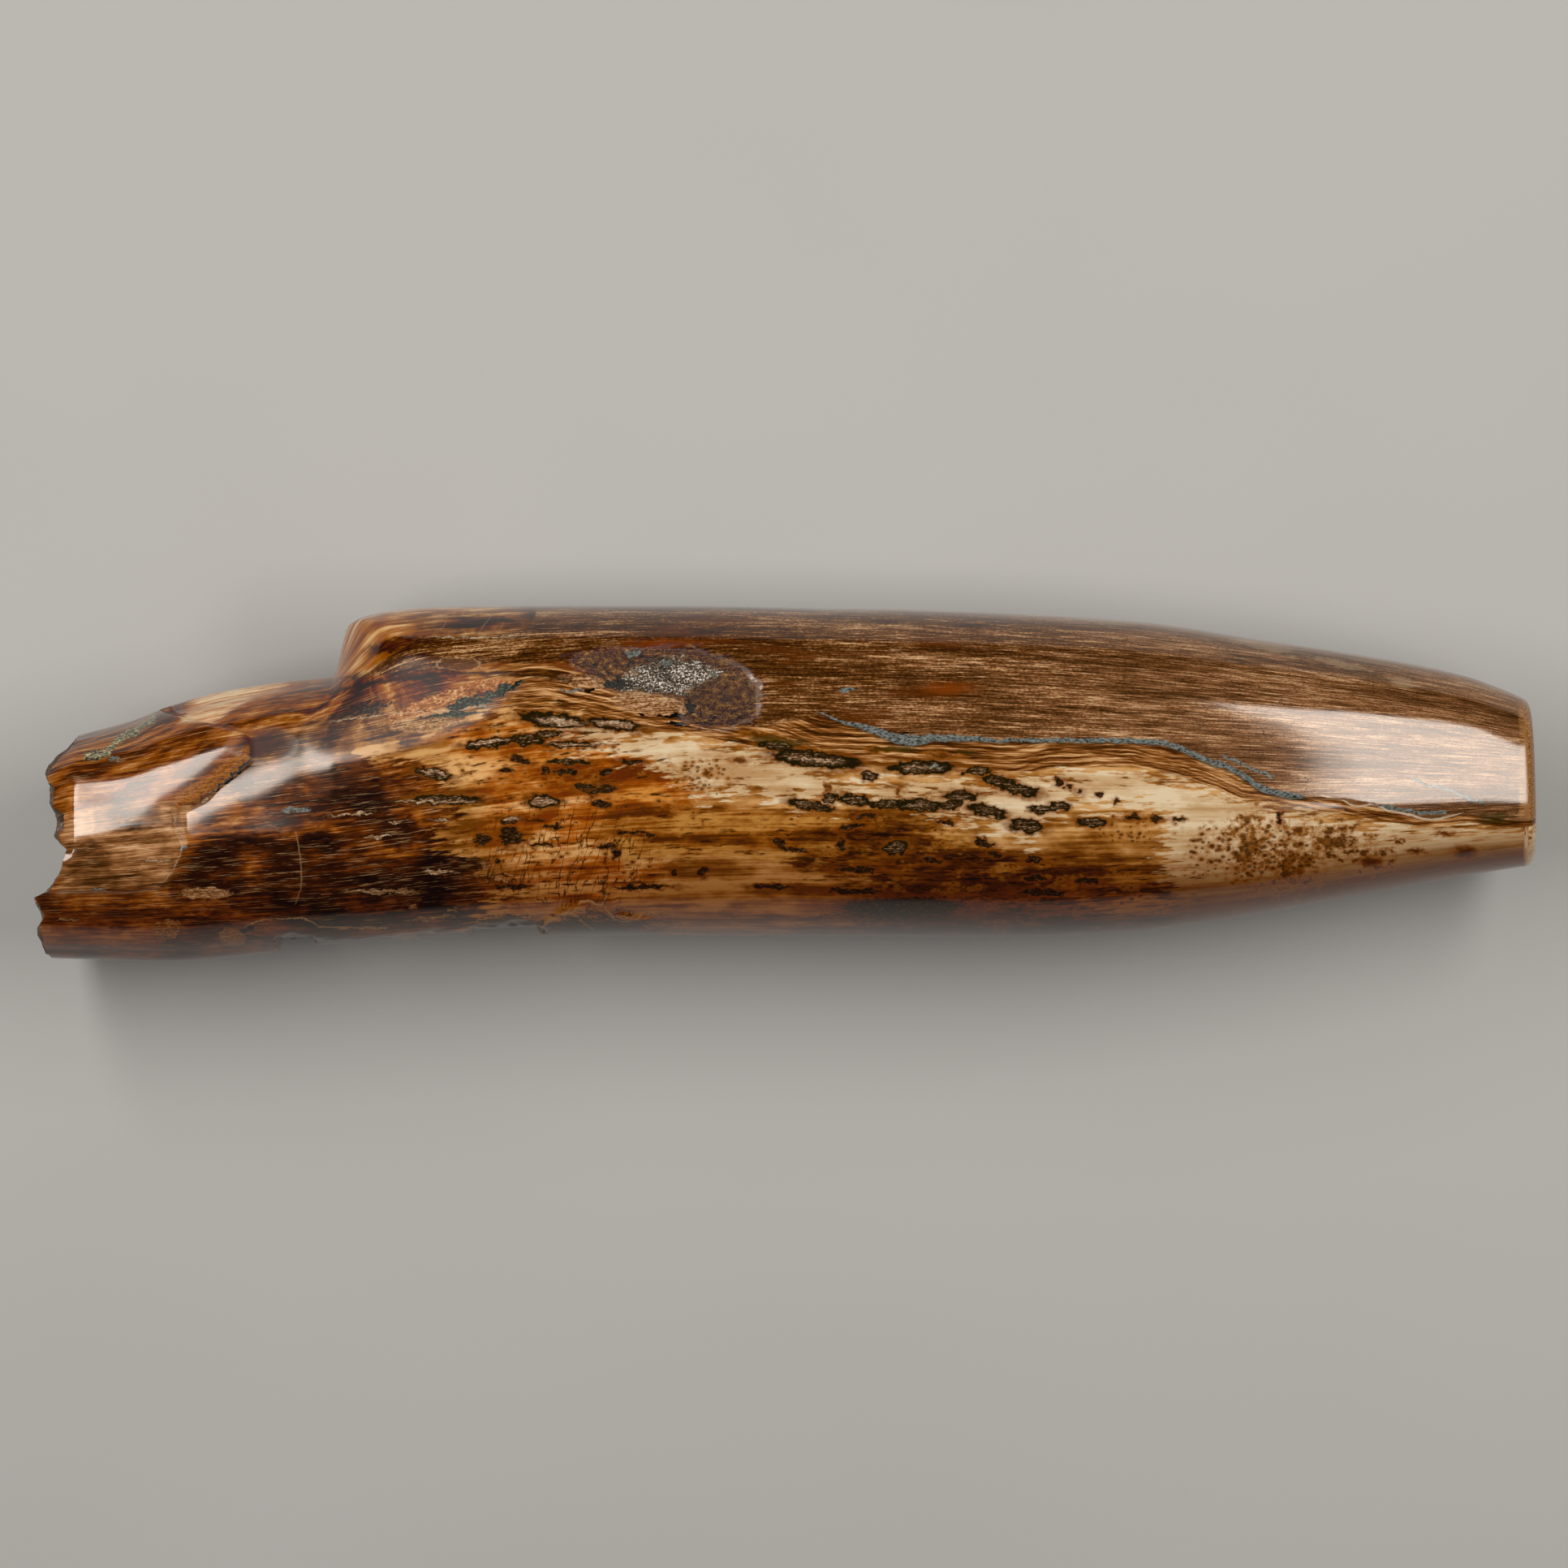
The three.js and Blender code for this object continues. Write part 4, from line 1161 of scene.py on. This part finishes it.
def sawn_material():
    """The sawn face: cream ivory with fine growth rings and crossing lines, in a brown bark rim"""
    material = empty_material("sawn_ivory")
    tree = material.node_tree
    skin, depth = attribute(tree, "skin", 1), attribute(tree, "depth")
    cloud = clouds(skin, 72, (9, 5, 5), 3)
    ring = clouds(joined(depth * 1.6 + (cloud - 0.5) * 0.8, 0.0, 0.0), 71, (1, 1, 1), 3, 0.6)
    grit = clouds(skin, 73, (0.9, 0.6, 0.6), 3, 0.6)
    _, y, z = parts_of(skin)
    turn = calculate("ARCTAN2", z, y)
    twist = depth * 0.35
    crossing = calculate("SINE", turn * 44 + twist * 9) * calculate("SINE", turn * 44 - twist * 9)
    value = ring * 0.75 + crossing * 0.06 + grit * 0.2
    face = graded(value, [(0.36, 150, 104, 60), (0.5, 196, 156, 110), (0.62, 222, 194, 156)])
    rim = graded(ring, [(0.4, 84, 50, 26), (0.6, 140, 96, 60)])
    bark = step(attribute(tree, "bark"), -1, 1)
    colour = mixed(face, rim, step(depth + (cloud - 0.5) * 2, 3.6, 4.6, 1, 0) * bark)
    finished(tree, colour, grit * 0.1 + 0.22, ring * 0.05)
    return material


def surface_height(s, bark):
    """Relief too fine for the mesh, in millimetres"""
    height = (s.fine - 0.5) * (bark * 0.003 + 0.0005) + (s.streak - 0.5) * 0.007
    return height + s.inside("pit", 0.3) * (clouds(s.skin, 81, (0.9, 0.7, 0.7), 2, 0.65) - 0.5) * 1.2


def tusk_material():
    """Polished fossil tusk: glossy ivory and bark, and matt where it is pitted"""
    material = empty_material("fossil_ivory")
    tree = material.node_tree
    s = Surface(tree)
    bark = s.inside("bark", 0.25, 0.25) * step(s.number("nose"), -0.5, 0.5, 1, 0)
    fraying = step(s.px, 620, 780, 1, 0)
    edge = s.number("ivory") + (s.ragged - 0.5) * (fraying * 22 + 1.4) + (s.cloud - 0.5) * fraying * 14
    ivory = step(edge / (fraying * 1.2 + 0.35), -1, 1)
    left = step(s.px + (s.ragged - 0.5) * 120, 560, 660, 1, 0)
    colour = mixed(band_colour(s), stump_colour(s), left)
    colour = mixed(colour, bark_colour(s), bark)
    colour = mixed(colour, ivory_colour(s), ivory)
    colour = ivory_marks(s, colour)
    colour = nose_colour(s, colour)
    detailed = lines_colour(s, details_colour(s, pit_colour(s, patches_colour(s, colour))))
    colour = mixed(colour, detailed, step(s.high + (s.ragged - 0.5) * 24, -6, 0))

    step_edge = step(s.number("left_plate"), -2.1, -1.6) * step(s.number("left_plate"), -0.1, 0.3, 1, 0)
    step_edge = step_edge * step(s.py, 1030, 1060, 1, 0)
    matt = largest(step_edge, step(marks(s.photo, MATT), 0.6, 1.2, 1, 0)) * 0.75
    pitted = s.number("pit") + (s.ragged - 0.5) * 10 + (s.grit - 0.5) * 4
    matt = largest(step(pitted, -2.4, 0.4) * 0.7, matt)
    roughness = blend(0.06 + s.fine * 0.06, 0.75, matt)
    # Painted shade: every colour darker and warmer towards the near flank, which faces away from the lights
    colour = tinted(colour, tone(200, 160, 108), step(s.far, -14, -36))
    colour = less_haze(colour, largest(matt, step(s.far, 28, 42) * 0.4))
    finished(tree, colour, roughness, surface_height(s, bark))
    return material


def floor_material():
    """A pale matt floor, with the faintest of clouds in it"""
    material = empty_material("pale_floor")
    tree = material.node_tree
    place = node(tree, "TexCoord", {}, output=3)
    patches = clouds(place, 1, (FLOOR_PATCH, FLOOR_PATCH, FLOOR_PATCH), 3)
    tint = mixed(FLOOR_DARKEST, FLOOR_PALEST, node(tree, "MapRange", {0: patches, 1: 0.3, 2: 0.7}))
    shader = node(tree, "BsdfPrincipled", {"Base Color": tint, "Roughness": 0.85})
    output = tree.nodes.new("ShaderNodeOutputMaterial")
    tree.links.new(shader.socket, output.inputs["Surface"])
    return material


def floor_object(half=2.5, drop=0.0002):
    mesh = bpy.data.meshes.new("floor")
    corners = [(-half, -half, -drop), (half, -half, -drop), (half, half, -drop), (-half, half, -drop)]
    mesh.from_pydata(corners, [], [(0, 1, 2, 3)])
    mesh.materials.append(floor_material())
    floor = bpy.data.objects.new("floor", mesh)
    bpy.context.scene.collection.objects.link(floor)
    return floor


def softbox(name, middle, width, length, radiance, turn=0.0):
    """A level rectangular light of an even brightness, turned by so many degrees"""
    light = bpy.data.lights.new(name, "AREA")
    light.shape = "RECTANGLE"
    light.size, light.size_y = width, length
    light.energy = radiance * math.pi * width * length
    lamp = bpy.data.objects.new(name, light)
    lamp.location = middle
    lamp.rotation_euler = (0, 0, math.radians(turn))
    bpy.context.scene.collection.objects.link(lamp)


def lighting():
    softbox("right_softbox", **RIGHT_SOFTBOX)
    softbox("left_softbox", **LEFT_SOFTBOX)
    world = bpy.data.worlds.new("studio")
    world.use_nodes = True
    background = world.node_tree.nodes["Background"]
    background.inputs["Color"].default_value = ROOM_COLOUR
    background.inputs["Strength"].default_value = ROOM_BRIGHTNESS
    bpy.context.scene.world = world


def camera():
    """Straight above, framed as the photograph is"""
    data = bpy.data.cameras.new("camera")
    data.lens = CAMERA_LENS
    data.sensor_width = SENSOR
    data.clip_end = 20
    middle_u, middle_v = in_mm((PHOTO_SIDE / 2, PHOTO_SIDE / 2))
    eye = bpy.data.objects.new("camera", data)
    eye.location = (middle_u * MM, middle_v * MM, (AXIS_HEIGHT + CAMERA_DISTANCE) * MM)
    bpy.context.scene.collection.objects.link(eye)
    bpy.context.scene.camera = eye


tusk = tusk_object()
for material in (tusk_material(), broken_material(), sawn_material()):
    tusk.data.materials.append(material)
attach(tusk, "root")
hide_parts("tusk_section")
floor_object()
lighting()
camera()
bpy.context.scene.view_settings.view_transform = "Standard"
